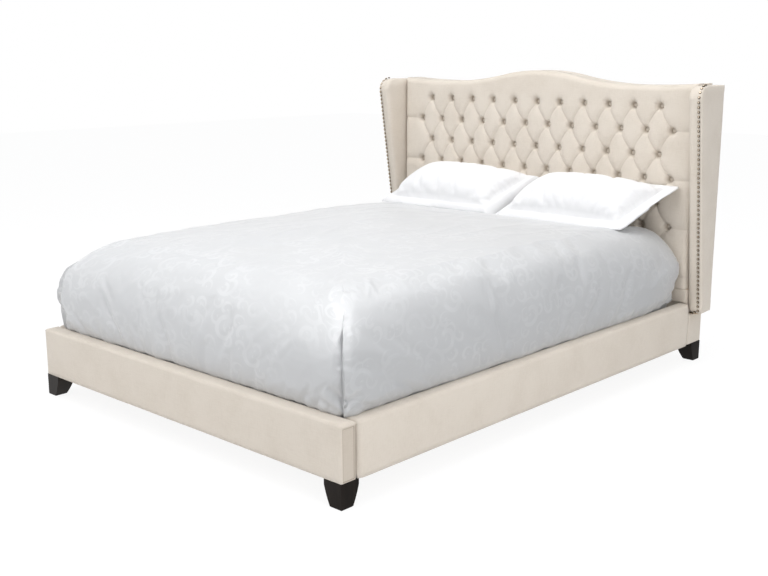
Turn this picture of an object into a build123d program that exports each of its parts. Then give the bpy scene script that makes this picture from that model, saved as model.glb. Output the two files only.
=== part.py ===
from build123d import *
import os
from math import atan2, cos, radians, sin, tan

os.makedirs("parts", exist_ok=True)

# An upholstered bed: a deep-tufted camelback headboard with flared wings, padded side rails and
# footboard, a slatted base with a centre beam, and the mattress, coverlet and two pillows on it.
# Millimetres, +Z up, +Y towards the headboard, +X to the right as seen from the foot.
# The origin is on the floor under the middle of the bed.

# Main sizes of the frame
leg_height = 85
panel_height = 184
footboard_width = 1660
footboard_thickness = 64
rail_length = 2058
rail_thickness = 58
rail_proud = 8
headboard_step = 12
headboard_depth = 118

# Upholstery: foam thickness on the faces, on the edges, and cloth alone
face_foam = 24
edge_foam = 12
cloth = 2
panel_round = 9
corner_round = 5

# Gaps: a free seat between two bodies, a bolt in its hole, and the gap at a rail's end
seat_gap = 0.3
hole_gap = 0.3
rail_end_gap = 1.5
overrun = 5

# Places along and up the bed that follow from the sizes above
headboard_width = footboard_width - 2 * headboard_step
overall_length = footboard_thickness + rail_length + headboard_depth
foot_y = -overall_length / 2
rail_start = foot_y + footboard_thickness
head_y = rail_start + rail_length
back_y = head_y + headboard_depth
panel_top = leg_height + panel_height
rail_outer = footboard_width / 2 + rail_proud
rail_inner = rail_outer - rail_thickness
rail_core_inner = rail_inner + cloth
rail_core_outer = rail_outer - face_foam
body_half = headboard_width / 2


def rectangle_between(x_low, x_high, y_low, y_high):
    """A rectangle between two corners, as a sketch on the ground plane."""
    with BuildSketch() as outline:
        with Locations(((x_low + x_high) / 2, (y_low + y_high) / 2)):
            Rectangle(x_high - x_low, y_high - y_low)
    return outline.sketch


def facing_foot(y):
    """The upright plane at y that looks to the foot: its x runs along +X and its y up."""
    return Plane.XZ.offset(-y)


# Footboard
footboard_core_front = foot_y + face_foam
footboard_core_back = rail_start - cloth
footboard_core_half = footboard_width / 2 - edge_foam

# Bolts that hold the corner brackets, with their heads on the inside of the bed
bolt_radius = 4
bolt_sides = 8
bolt_grip = 34
head_radius = 7.5
head_height = 5.5
head_sides = 6

# Corner brackets in the four inside corners
bracket_leg = 56
bracket_height = 58
bracket_plate = 3
bracket_low = leg_height + edge_foam
bolt_z = bracket_low + bracket_height / 2
bolt_place_share = 0.6
bolt_from_corner = bracket_leg * bolt_place_share

with BuildPart() as bolt:
    with BuildSketch(Plane.XY):
        RegularPolygon(bolt_radius, bolt_sides)
    extrude(amount=-bolt_grip)
    with BuildSketch(Plane.XY):
        RegularPolygon(head_radius, head_sides)
    extrude(amount=head_height)

with BuildPart() as bolt_room:
    with BuildSketch(Plane.XY.offset(overrun)):
        RegularPolygon(bolt_radius + hole_gap, bolt_sides)
    extrude(amount=-(bolt_grip + overrun + hole_gap))

# Each bolt's head looks into the bed, so its plane's normal points the way it would be drawn out
rail_face = rail_core_inner - bracket_plate
foot_face = rail_start + bracket_plate
head_face = head_y - bracket_plate
board_bolt_x = rail_core_inner - bolt_from_corner
bolt_seats = []
for side in (1, -1):
    for y in (rail_start + bolt_from_corner, head_y - bolt_from_corner):
        bolt_seats.append(Plane(origin=(side * rail_face, y, bolt_z), z_dir=(-side, 0, 0)))
    bolt_seats.append(Plane(origin=(side * board_bolt_x, foot_face, bolt_z), z_dir=(0, 1, 0)))
    bolt_seats.append(Plane(origin=(side * board_bolt_x, head_face, bolt_z), z_dir=(0, -1, 0)))
bolt_places = [seat.location for seat in bolt_seats]

with BuildPart() as bracket_bolts:
    with Locations(*bolt_places):
        add(bolt.part)

# Screws that hang the legs, half in the leg and half in the board above it
hanger_length = 76
leg_bolt_inset = 42
front_leg_bolt_y = (footboard_core_front + footboard_core_back) / 2
rear_leg_bolt_y = back_y - leg_bolt_inset
leg_bolt_x = footboard_width / 2 - leg_bolt_inset
leg_bolt_places = []
for side in (1, -1):
    for y in (front_leg_bolt_y, rear_leg_bolt_y):
        leg_bolt_places.append((side * leg_bolt_x, y))


def hanger_sketch(radius):
    """The four leg screws' section, as a sketch on the ground plane."""
    with BuildSketch() as section:
        with Locations(*leg_bolt_places):
            RegularPolygon(radius, bolt_sides)
    return section.sketch


with BuildPart() as leg_bolts:
    with BuildSketch(Plane.XY.offset(leg_height - hanger_length / 2)):
        add(hanger_sketch(bolt_radius))
    extrude(amount=hanger_length)

with BuildPart() as leg_bolt_room:
    with BuildSketch(Plane.XY.offset(leg_height - hanger_length / 2 - hole_gap)):
        add(hanger_sketch(bolt_radius + hole_gap))
    extrude(amount=hanger_length + 2 * hole_gap)

with BuildPart() as footboard_core:
    with BuildSketch(Plane.XY.offset(leg_height)):
        add(
            rectangle_between(
                -footboard_core_half, footboard_core_half, footboard_core_front, footboard_core_back
            )
        )
    extrude(amount=panel_height - edge_foam)
    with Locations(*bolt_places):
        add(bolt_room.part, mode=Mode.SUBTRACT)
    add(leg_bolt_room.part, mode=Mode.SUBTRACT)

with BuildPart() as footboard_cover:
    with BuildSketch(Plane.XY.offset(leg_height)):
        add(rectangle_between(-footboard_width / 2, footboard_width / 2, foot_y, rail_start))
    extrude(amount=panel_height)
    fillet(footboard_cover.edges().filter_by(Axis.Z), radius=corner_round)
    fillet(footboard_cover.faces().sort_by(Axis.Z)[-1].edges(), radius=panel_round)
    with BuildSketch(Plane.XY.offset(leg_height)):
        add(
            rectangle_between(
                -footboard_core_half, footboard_core_half, footboard_core_front, footboard_core_back
            )
        )
    extrude(amount=panel_height - edge_foam, mode=Mode.SUBTRACT)
    with Locations(*bolt_places):
        add(bolt_room.part, mode=Mode.SUBTRACT)

# Slatted base: slats on two ledgers and a centre beam, tied by two webbing straps
slat_count = 12
slat_width = 76
slat_thickness = 20
slat_top = 214
slat_end_gap = 4
strap_width = 38
strap_thickness = 1.2
strap_x = headboard_width / 4
ledger_width = 34
ledger_height = 36
ledger_end_gap = 20
beam_width = 42
beam_height = 60
ledger_top = slat_top - slat_thickness
slat_half = rail_core_inner - slat_end_gap
slat_pitch = rail_length / slat_count

# Side rails: a board inside a padded cover that is open on the inside below the slats
with BuildPart() as rail_core_right:
    with BuildSketch(Plane.XY.offset(leg_height)):
        add(
            rectangle_between(
                rail_core_inner,
                rail_core_outer,
                rail_start + rail_end_gap + cloth,
                head_y - rail_end_gap - cloth,
            )
        )
    extrude(amount=panel_height - edge_foam)
    with Locations(*bolt_places):
        add(bolt_room.part, mode=Mode.SUBTRACT)

with BuildPart() as rail_cover_right:
    with BuildSketch(Plane.XY.offset(leg_height)):
        add(
            rectangle_between(
                rail_inner, rail_outer, rail_start + rail_end_gap, head_y - rail_end_gap
            )
        )
    extrude(amount=panel_height)
    outer_face = rail_cover_right.faces().sort_by(Axis.X)[-1]
    fillet(outer_face.edges().filter_by(Axis.Z), radius=corner_round)
    fillet(rail_cover_right.faces().sort_by(Axis.Z)[-1].edges(), radius=panel_round)
    with BuildSketch(Plane.XY.offset(leg_height)):
        add(
            rectangle_between(
                rail_core_inner,
                rail_core_outer,
                rail_start + rail_end_gap + cloth,
                head_y - rail_end_gap - cloth,
            )
        )
    extrude(amount=panel_height - edge_foam, mode=Mode.SUBTRACT)
    with BuildSketch(Plane.XY.offset(leg_height)):
        add(
            rectangle_between(
                rail_inner - overrun, rail_core_inner, rail_start - overrun, head_y + overrun
            )
        )
    extrude(amount=ledger_top - leg_height, mode=Mode.SUBTRACT)

with BuildPart() as ledger_right:
    with BuildSketch(Plane.XY.offset(ledger_top - ledger_height)):
        add(
            rectangle_between(
                rail_core_inner - ledger_width,
                rail_core_inner,
                rail_start + ledger_end_gap,
                head_y - ledger_end_gap,
            )
        )
    extrude(amount=ledger_height)

with BuildPart() as rail_core_left:
    mirror(rail_core_right.part, about=Plane.YZ)

with BuildPart() as rail_cover_left:
    mirror(rail_cover_right.part, about=Plane.YZ)

with BuildPart() as ledger_left:
    mirror(ledger_right.part, about=Plane.YZ)


def bracket_outline(side, corner_y, inward):
    """An angle bracket seen from above, in the corner of a rail and a board."""
    corner_x = side * rail_core_inner
    with BuildSketch() as outline:
        with BuildLine():
            Polyline(
                (corner_x, corner_y),
                (corner_x, corner_y + inward * bracket_leg),
                (corner_x - side * bracket_plate, corner_y + inward * bracket_leg),
                (corner_x - side * bracket_plate, corner_y + inward * bracket_plate),
                (corner_x - side * bracket_leg, corner_y + inward * bracket_plate),
                (corner_x - side * bracket_leg, corner_y),
                close=True,
            )
        make_face()
    return outline.sketch


with BuildPart() as rail_brackets:
    for side in (1, -1):
        for corner_y, inward in ((rail_start, 1), (head_y, -1)):
            with BuildSketch(Plane.XY.offset(bracket_low)):
                add(bracket_outline(side, corner_y, inward))
            extrude(amount=bracket_height)
    with Locations(*bolt_places):
        add(bolt_room.part, mode=Mode.SUBTRACT)

slats = []
for number in range(slat_count):
    slat_y = rail_start + slat_pitch * (number + 0.5)
    with BuildPart() as slat:
        with BuildSketch(Plane.XY.offset(ledger_top)):
            add(
                rectangle_between(
                    -slat_half, slat_half, slat_y - slat_width / 2, slat_y + slat_width / 2
                )
            )
        extrude(amount=slat_thickness)
    slats.append(slat)

first_slat_y = rail_start + (slat_pitch - slat_width) / 2
with BuildPart() as slat_straps:
    with BuildSketch(Plane.XY.offset(slat_top)):
        with Locations((strap_x, 0), (-strap_x, 0)):
            add(
                rectangle_between(
                    -strap_width / 2,
                    strap_width / 2,
                    first_slat_y,
                    first_slat_y + slat_width + slat_pitch * (slat_count - 1),
                )
            )
    extrude(amount=strap_thickness)

# Centre beam in a steel hanger at each end
hanger_plate = 3
hanger_depth = 42
hanger_back_width = 92
hanger_rise_share = 0.7
beam_low = ledger_top - beam_height
hanger_rise = beam_height * hanger_rise_share

with BuildPart() as centre_beam:
    with BuildSketch(Plane.XY.offset(beam_low)):
        add(
            rectangle_between(
                -beam_width / 2, beam_width / 2, rail_start + hanger_plate, head_y - hanger_plate
            )
        )
    extrude(amount=beam_height)


def hanger_section(half_width, low):
    """The hanger's trough or back plate seen from the foot."""
    return rectangle_between(-half_width, half_width, low, beam_low + hanger_rise)


with BuildPart() as beam_hangers:
    for face_y, inward in ((rail_start, 1), (head_y, -1)):
        trough_half = beam_width / 2 + seat_gap + hanger_plate
        with BuildSketch(facing_foot(face_y)):
            add(hanger_section(trough_half, beam_low - hanger_plate))
        extrude(amount=-inward * hanger_depth)
        with BuildSketch(facing_foot(face_y + inward * hanger_plate)):
            add(hanger_section(beam_width / 2 + seat_gap, beam_low))
        extrude(amount=-inward * hanger_depth, mode=Mode.SUBTRACT)
        with BuildSketch(facing_foot(face_y)):
            add(hanger_section(hanger_back_width / 2, beam_low - hanger_plate))
        extrude(amount=-inward * hanger_plate)

# Centre legs with levelling feet that screw in and out
centre_leg_count = 3
centre_leg_size = 45
centre_leg_low = 22
foot_disc_radius = 19
foot_disc_height = 9
stem_radius = 4
stem_gap = 0.05
stem_length = 48
stem_room = 6

centre_legs = []
levelling_feet = []
for number in range(centre_leg_count):
    leg_y = rail_start + rail_length * (number + 0.5) / centre_leg_count
    with BuildPart() as centre_leg:
        with BuildSketch(Plane.XY.offset(centre_leg_low)):
            with Locations((0, leg_y)):
                Rectangle(centre_leg_size, centre_leg_size)
                Circle(stem_radius + stem_gap, mode=Mode.SUBTRACT)
        extrude(amount=beam_low - centre_leg_low)
        with BuildSketch(Plane.XY.offset(foot_disc_height + stem_length + stem_room)):
            with Locations((0, leg_y)):
                Circle(stem_radius + stem_gap)
        extrude(amount=beam_low - foot_disc_height - stem_length - stem_room)
    centre_legs.append(centre_leg)
    with BuildPart() as levelling_foot:
        with BuildSketch(Plane.XY):
            with Locations((0, leg_y)):
                RegularPolygon(foot_disc_radius, 2 * bolt_sides)
        extrude(amount=foot_disc_height)
        with BuildSketch(Plane.XY.offset(foot_disc_height)):
            with Locations((0, leg_y)):
                Circle(stem_radius)
        extrude(amount=stem_length)
    levelling_feet.append(levelling_foot)

# Corner legs: upright on their two outer faces, tapered on the two inner ones
leg_top_size = 75
leg_foot_size = 49
leg_neck = 18
leg_bow = 2
leg_edge = 2.5


def leg_profile():
    """One face of a leg. Its outer edge is the line x = 0, and the inner one tapers to the floor."""
    with BuildSketch() as profile:
        with BuildLine():
            Polyline(
                (-leg_foot_size, 0),
                (0, 0),
                (0, leg_height),
                (-leg_top_size, leg_height),
                (-leg_top_size, leg_height - leg_neck),
            )
            SagittaArc((-leg_top_size, leg_height - leg_neck), (-leg_foot_size, 0), -leg_bow)
        make_face()
    return profile.sketch


def corner_leg(corner_x, corner_y, outward):
    """A right-hand leg with its outer corner at the given place. outward is -1 at the foot end."""
    with BuildPart() as leg:
        front = Plane(origin=(corner_x, corner_y, 0), x_dir=(1, 0, 0), z_dir=(0, -1, 0))
        with BuildSketch(front):
            add(leg_profile())
        extrude(amount=outward * leg_top_size)
        side = Plane(origin=(corner_x, corner_y, 0), x_dir=(0, outward, 0), z_dir=(outward, 0, 0))
        with BuildSketch(side):
            add(leg_profile())
        extrude(amount=-outward * leg_top_size, mode=Mode.INTERSECT)
        chamfer(leg.faces().sort_by(Axis.Z)[0].edges(), length=leg_edge)
        add(leg_bolt_room.part, mode=Mode.SUBTRACT)
    return leg.part


rear_leg_x = footboard_width / 2 + rail_proud / 2
with BuildPart() as leg_foot_right:
    add(corner_leg(footboard_width / 2, foot_y, -1))

with BuildPart() as leg_head_right:
    add(corner_leg(rear_leg_x, back_y, 1))

with BuildPart() as leg_foot_left:
    mirror(leg_foot_right.part, about=Plane.YZ)

with BuildPart() as leg_head_left:
    mirror(leg_head_right.part, about=Plane.YZ)

# Headboard: the camelback outline rises to a crest in the middle and turns up a little at its ends
crest_height = 1252
crest_drop = 56
crest_end_lift = 12
crest_turn_share = 0.245
crest_low_share = 0.64
crest_low_height = crest_height - crest_drop
crest_end_height = crest_low_height + crest_end_lift


def camelback(half_width, bottom, drop):
    """The headboard's outline with its crest lowered by drop, drawn by arcs that join in line."""
    turn_x = half_width * crest_turn_share
    low_x = half_width * crest_low_share
    turn_z = crest_height - (crest_height - crest_low_height) * turn_x / low_x
    with BuildSketch() as outline:
        with BuildLine():
            crown = TangentArc(
                (0, crest_height - drop), (turn_x, turn_z - drop), tangent=(1, 0)
            )
            hollow = TangentArc(crown @ 1, (low_x, crest_low_height - drop), tangent=crown % 1)
            rise = TangentArc(
                hollow @ 1, (half_width, crest_end_height - drop), tangent=hollow % 1
            )
            Polyline(rise @ 1, (half_width, bottom), (0, bottom), crown @ 0)
        make_face()
        mirror(about=Plane.YZ)
    return outline.sketch


# Headboard structure: posts, a lower panel, a plywood panel behind the tufting, battens, a back
post_width = 100
pad_bottom = 330
panel_ply = 18
back_board = 5
pad_base_depth = 43
pad_overhang = 10
pad_back = head_y + pad_base_depth
batten_height = 70
batten_middle_share = 0.36
post_inner = body_half - post_width
ply_back = pad_back + panel_ply
back_front = back_y - back_board
lower_front = head_y + cloth

with BuildPart() as post_right:
    with BuildSketch(Plane.XY.offset(leg_height)):
        add(rectangle_between(post_inner, body_half, lower_front, back_front))
    extrude(amount=pad_bottom - leg_height)
    with BuildSketch(Plane.XY.offset(pad_bottom)):
        add(rectangle_between(post_inner, body_half, ply_back, back_front))
    extrude(amount=crest_end_height - edge_foam - pad_bottom)
    with BuildSketch(facing_foot(back_y)):
        add(camelback(body_half, 0, edge_foam))
    extrude(amount=headboard_depth, mode=Mode.INTERSECT)
    with Locations(*bolt_places):
        add(bolt_room.part, mode=Mode.SUBTRACT)
    add(leg_bolt_room.part, mode=Mode.SUBTRACT)

with BuildPart() as post_left:
    mirror(post_right.part, about=Plane.YZ)

with BuildPart() as lower_panel:
    with BuildSketch(Plane.XY.offset(leg_height)):
        add(rectangle_between(-post_inner, post_inner, lower_front, lower_front + panel_ply))
    extrude(amount=pad_bottom - leg_height)

with BuildPart() as lower_cover:
    with BuildSketch(facing_foot(lower_front)):
        add(rectangle_between(-body_half, body_half, leg_height, pad_bottom))
    extrude(amount=cloth)
    with Locations(*bolt_places):
        add(bolt_room.part, mode=Mode.SUBTRACT)

with BuildPart() as headboard_panel:
    with BuildSketch(facing_foot(ply_back)):
        add(camelback(body_half, pad_bottom, edge_foam))
    extrude(amount=panel_ply)

with BuildPart() as back_cover:
    with BuildSketch(facing_foot(back_y)):
        add(camelback(body_half, leg_height, 0))
    extrude(amount=back_board)

with BuildPart() as crest_boxing:
    with BuildSketch(facing_foot(back_front)):
        add(camelback(body_half, pad_bottom, 0))
        add(camelback(body_half, pad_bottom, edge_foam), mode=Mode.SUBTRACT)
    extrude(amount=back_front - pad_back)

middle_batten_z = pad_bottom + (crest_low_height - pad_bottom) * batten_middle_share
top_batten_z = crest_low_height - edge_foam - batten_height
battens = []
for batten_z in (leg_height, middle_batten_z, top_batten_z):
    with BuildPart() as batten:
        with BuildSketch(Plane.XY.offset(batten_z)):
            add(rectangle_between(-post_inner, post_inner, ply_back, back_front))
        extrude(amount=batten_height)
    battens.append(batten)

# Tufted pad: puffed diamonds between buttons that are drawn deep into the foam
button_columns = 11
column_pitch = 128.3
row_pitch = 104
top_row_drop = 85.4
last_row_margin = 40
crown_rise = 17
dimple_depth = 38
dimple_floor = 14
dimple_mouth = 40
pad_edge_in = 20
pad_edge_back = 17
pad_half = body_half - cloth
# A puff rises steeply beside a pleat and then bends over to a flat top
puff_steep = 8
puff_inset = 36
puff_bend = 8
crown_y = head_y - pad_overhang
pad_depth = pad_back - crown_y
pleat_y = crown_y + crown_rise
button_y = crown_y + dimple_depth
half_pitch = column_pitch / 2
top_row_z = crest_low_height - top_row_drop
row_room = top_row_z - pad_bottom + row_pitch - last_row_margin
button_rows = 2 * int(row_room / (2 * row_pitch))
button_spots = []
for row in range(button_rows):
    count = button_columns + row % 2
    for column in range(count):
        spot_x = (column - (count - 1) / 2) * column_pitch
        button_spots.append((spot_x, 0, top_row_z - row * row_pitch))


def puff(*corners):
    """Foam that swells between pleats: a convex outline that steepens towards them."""
    with BuildPart() as form:
        with BuildSketch(facing_foot(pleat_y + overrun)):
            with BuildLine():
                Polyline(*corners, close=True)
            make_face()
        extrude(amount=crown_rise + overrun)
        top = form.faces().sort_by(Axis.Y)[0]
        chamfer(top.edges(), length=puff_steep, length2=crown_rise, reference=top)
        top = form.faces().sort_by(Axis.Y)[0]
        chamfer(top.edges(), length=puff_inset - puff_steep, length2=puff_bend, reference=top)
    return form.part


# Outer puffs run past the pad's edge, where the pad's own rounded outline cuts them
past_edge = pad_half + puff_inset
past_top = crest_height + puff_inset
last_row_z = top_row_z - (button_rows - 1) * row_pitch
past_bottom = pad_bottom - puff_inset
outer_wide = button_columns * half_pitch
outer_narrow = outer_wide - half_pitch
diamond = puff((0, -row_pitch), (half_pitch, 0), (0, row_pitch), (-half_pitch, 0))
top_channel = puff(
    (0, top_row_z - row_pitch),
    (half_pitch, top_row_z),
    (half_pitch, past_top),
    (-half_pitch, past_top),
    (-half_pitch, top_row_z),
)
bottom_channel = puff(
    (0, last_row_z + row_pitch),
    (-half_pitch, last_row_z),
    (-half_pitch, past_bottom),
    (half_pitch, past_bottom),
    (half_pitch, last_row_z),
)
side_puff = puff(
    (outer_narrow, 0),
    (outer_wide, -row_pitch),
    (past_edge, -row_pitch),
    (past_edge, row_pitch),
    (outer_wide, row_pitch),
)
top_corner = puff(
    (outer_narrow, top_row_z),
    (outer_wide, top_row_z - row_pitch),
    (past_edge, top_row_z - row_pitch),
    (past_edge, past_top),
    (outer_narrow, past_top),
)
bottom_corner = puff(
    (outer_wide, last_row_z),
    (outer_wide, past_bottom),
    (past_edge, past_bottom),
    (past_edge, last_row_z),
)

diamond_spots = []
side_spots = []
top_spots = []
bottom_spots = []
for row in range(1, button_rows - 1):
    count = button_columns - 1 + row % 2
    row_z = top_row_z - row * row_pitch
    for column in range(count):
        diamond_spots.append(((column - (count - 1) / 2) * column_pitch, 0, row_z))
    if row % 2 == 0:
        side_spots.append((0, 0, row_z))
for column in range(button_columns - 1):
    top_spots.append(((column - (button_columns - 2) / 2) * column_pitch, 0, 0))
for column in range(button_columns):
    bottom_spots.append(((column - (button_columns - 1) / 2) * column_pitch, 0, 0))

with BuildPart() as dimple:
    with BuildSketch(facing_foot(button_y)):
        RegularPolygon(dimple_mouth, head_sides, major_radius=False)
    extrude(amount=dimple_depth + overrun)
    floor = dimple.faces().sort_by(Axis.Y)[-1]
    chamfer(floor.edges(), length=dimple_mouth - dimple_floor, length2=dimple_depth, reference=floor)

with BuildPart() as pad_limit:
    with BuildSketch(facing_foot(pad_back)):
        add(camelback(pad_half, pad_bottom, 0))
    extrude(amount=pad_depth)
    front = pad_limit.faces().sort_by(Axis.Y)[0]
    chamfer(front.edges(), length=pad_edge_in, length2=pad_edge_back, reference=front)

with BuildPart() as tufted_pad:
    with BuildSketch(facing_foot(pad_back)):
        add(rectangle_between(-past_edge, past_edge, past_bottom, past_top))
    extrude(amount=pad_back - pleat_y)
    with Locations(*diamond_spots):
        add(diamond)
    with Locations(*top_spots):
        add(top_channel)
    with Locations(*bottom_spots):
        add(bottom_channel)
    with Locations(*side_spots):
        add(side_puff)
        mirror(side_puff, about=Plane.YZ)
    add(top_corner)
    mirror(top_corner, about=Plane.YZ)
    add(bottom_corner)
    mirror(bottom_corner, about=Plane.YZ)
    with Locations(*button_spots):
        add(dimple.part, mode=Mode.SUBTRACT)
    add(pad_limit.part, mode=Mode.INTERSECT)

# Covered buttons at the bottom of each dimple
button_radius = 12
button_height = 9
button_taper = 21

with BuildPart() as button:
    with BuildSketch(facing_foot(button_y)):
        RegularPolygon(button_radius, head_sides)
    extrude(amount=button_height, taper=button_taper)

with BuildPart() as tuft_buttons:
    with Locations(*button_spots):
        add(button.part)

# Wings: boards in padded covers, flared outwards from the headboard's back corners
wing_thickness = 57
wing_flare = 4.5
wing_bottom = 224
wing_top_step = 4
wing_top = crest_end_height - wing_top_step
wing_bottom_depth = 114
wing_top_depth = 257
wing_top_round = 60
wing_bottom_round = 24
wing_inner_edge = 8
wing_outer_edge = 4
wing_board = 22
wing_foam = 14
wing_board_inset = 12
wing_back_trim = wing_thickness * tan(radians(wing_flare))
flare_sin = sin(radians(wing_flare))
flare_cos = cos(radians(wing_flare))
wing_origin = (body_half + seat_gap, back_y, 0)
wing_out = Vector(flare_cos, flare_sin, 0)
wing_plane = Plane(origin=wing_origin, x_dir=(-flare_sin, flare_cos, 0), z_dir=wing_out)


def wing_profile(inset):
    """The wing from the side: deeper at the top than at the bottom, with round front corners."""
    front_low = -wing_bottom_depth + inset
    front_top = -wing_top_depth + inset
    back = -wing_back_trim - inset
    with BuildSketch() as profile:
        with BuildLine():
            Polyline(
                (back, wing_bottom),
                (front_low, wing_bottom),
                (front_top, wing_top - inset),
                (back, wing_top - inset),
                close=True,
            )
        make_face()
        top_corner = profile.vertices().group_by(Axis.Y)[-1].sort_by(Axis.X)[0]
        fillet(top_corner, radius=wing_top_round - inset)
        low_corner = profile.vertices().group_by(Axis.Y)[0].sort_by(Axis.X)[0]
        fillet(low_corner, radius=wing_bottom_round - inset)
    return profile.sketch


with BuildPart() as wing_core_right:
    with BuildSketch(wing_plane.offset(wing_foam)):
        add(wing_profile(wing_board_inset))
    extrude(amount=wing_board)

with BuildPart() as wing_cover_right:
    with BuildSketch(wing_plane):
        add(wing_profile(0))
    extrude(amount=wing_thickness)
    flat_faces = wing_cover_right.faces().filter_by(Plane(origin=wing_origin, z_dir=wing_out))
    inner_face, outer_face = flat_faces.sort_by(Axis.X)
    chamfer(inner_face.edges(), length=wing_inner_edge)
    chamfer(outer_face.edges(), length=wing_outer_edge)
    add(wing_core_right.part, mode=Mode.SUBTRACT)

with BuildPart() as wing_core_left:
    mirror(wing_core_right.part, about=Plane.YZ)

with BuildPart() as wing_cover_left:
    mirror(wing_cover_right.part, about=Plane.YZ)

# Covers over the foot of each post, below the wing
with BuildPart() as post_cover_right:
    with BuildSketch(Plane.XY.offset(leg_height)):
        add(rectangle_between(body_half, rear_leg_x, head_y, back_y))
    extrude(amount=wing_bottom - seat_gap - leg_height)
    outer_face = post_cover_right.faces().sort_by(Axis.X)[-1]
    fillet(outer_face.edges().filter_by(Axis.Z), radius=corner_round)

with BuildPart() as post_cover_left:
    mirror(post_cover_right.part, about=Plane.YZ)

# Decorative nails along each wing's front edge, round its top corner and in at its foot
nail_radius = 6
nail_height = 3.4
nail_taper = 38
nail_pitch = 19.4
nail_from_edge = 12
nail_turn_in = 15
nail_turn_count = 2
wing_lean = atan2(wing_top_depth - wing_bottom_depth, wing_top - wing_bottom)

with BuildPart() as nail:
    with BuildSketch(Plane.XY):
        RegularPolygon(nail_radius, head_sides)
    extrude(amount=nail_height, taper=nail_taper)

front_edges = wing_profile(0).edges()
front_line = front_edges.filter_by(GeomType.LINE).sort_by(Axis.X)[0]
low_arc, top_arc = front_edges.filter_by(GeomType.CIRCLE).sort_by(Axis.Y)
nail_spots = []
line_low, line_high = sorted((front_line @ 0, front_line @ 1), key=lambda point: point.Y)
line_length = (line_high - line_low).length
line_count = int(line_length / nail_pitch)
for number in range(line_count + 1):
    along = number / line_count
    point = line_low + (line_high - line_low) * along
    nail_spots.append((point.X, point.Y, radians(180) + wing_lean, nail_from_edge))


def arc_spot(arc, radius, heading, from_edge):
    """A nail's place on one of the wing's round corners, where it faces a heading."""
    centre = arc.arc_center
    return (
        centre.X + radius * cos(heading), centre.Y + radius * sin(heading), heading, from_edge
    )


arc_turn = radians(90) + wing_lean
low_turn = radians(90) - wing_lean
arc_count = round(wing_top_round * arc_turn / nail_pitch)
for number in range(1, arc_count + 1):
    heading = radians(180) + wing_lean - arc_turn * number / arc_count
    nail_spots.append(arc_spot(top_arc, wing_top_round, heading, nail_from_edge))
for number in range(1, nail_turn_count + 1):
    heading = radians(180) + wing_lean + low_turn * number / (nail_turn_count + 2)
    from_edge = nail_from_edge + nail_turn_in * number
    nail_spots.append(arc_spot(low_arc, wing_bottom_round, heading, from_edge))

nail_places = []
for spot_u, spot_v, heading, from_edge in nail_spots:
    seat = wing_plane.from_local_coords(Vector(spot_u, spot_v, wing_thickness - from_edge))
    out = wing_plane.x_dir * cos(heading) + Vector(0, 0, sin(heading))
    nail_places.append(Plane(origin=seat, x_dir=wing_out, z_dir=out).location)

with BuildPart() as nail_trim:
    with Locations(*nail_places):
        add(nail.part)
    mirror(nail_trim.part, about=Plane.YZ)

# Mattress: upright sides, round shoulders and a crowned top
mattress_side_gap = 23
mattress_foot_gap = 16
mattress_head_gap = 32
mattress_corner = 45
mattress_low = slat_top + strap_thickness + seat_gap
mattress_upright = 178.5
mattress_side_shoulder = 133
mattress_foot_shoulder = 128
mattress_head_shoulder = 60
mattress_shoulder_rise = 359.5
mattress_head_rise = 304.5
mattress_thickness = 387.5
mattress_width = 2 * (rail_inner - mattress_side_gap)
mattress_foot = rail_start + mattress_foot_gap
mattress_head = head_y - mattress_head_gap
mattress_length = mattress_head - mattress_foot
mattress_level = mattress_low + mattress_upright
mattress_shoulder_z = mattress_low + mattress_shoulder_rise
mattress_head_z = mattress_low + mattress_head_rise
mattress_top = mattress_low + mattress_thickness
mattress_crown_share = 0.42
mattress_crown_y = mattress_foot + mattress_length * mattress_crown_share

# The crown seen from the side stands a little over the one seen from the end, and a layer's plan
# a little outside both views, so that the plan only rounds the corners
crown_lift = 4
plan_margin = 1.5


def crowned_view(ends, low, level, tuck, tuck_top, crown):
    """A bed layer from one side: upright ends, drawn in by a tuck, round shoulders and a crown.
    Each end gives its place, and the place and height of its shoulder."""
    (left, left_shoulder, left_z), (right, right_shoulder, right_z) = ends
    with BuildSketch() as view:
        with BuildLine():
            rise = Polyline((right - tuck, low), (right - tuck, tuck_top), (right, level))
            turn = TangentArc((right, level), (right_shoulder, right_z), tangent=(0, 1))
            over = ThreePointArc(turn @ 1, crown, (left_shoulder, left_z))
            TangentArc((left, level), over @ 1, tangent=(0, 1))
            fall = Polyline((left, level), (left + tuck, tuck_top), (left + tuck, low))
            Line(fall @ 1, rise @ 0)
        make_face()
    return view.sketch


def bed_layer(end_view, side_view, plan, gap):
    """The solid that fills its end view, side view and plan, all grown by a gap."""
    with BuildPart() as layer:
        with BuildSketch(Plane.XY):
            offset(plan, gap)
        extrude(amount=crest_height)
        with BuildSketch(facing_foot(0)):
            offset(end_view, gap)
        extrude(amount=overall_length, both=True, mode=Mode.INTERSECT)
        with BuildSketch(Plane.YZ):
            offset(side_view, gap)
        extrude(amount=footboard_width, both=True, mode=Mode.INTERSECT)
    return layer.part


def bed_plan(width, foot, head, corner):
    """A rounded rectangle across the bed, a margin wider than the width and length given."""
    margin = 2 * plan_margin
    with BuildSketch() as plan:
        with Locations((0, (foot + head) / 2)):
            RectangleRounded(width + margin, head - foot + margin, corner + plan_margin)
    return plan.sketch


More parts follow.
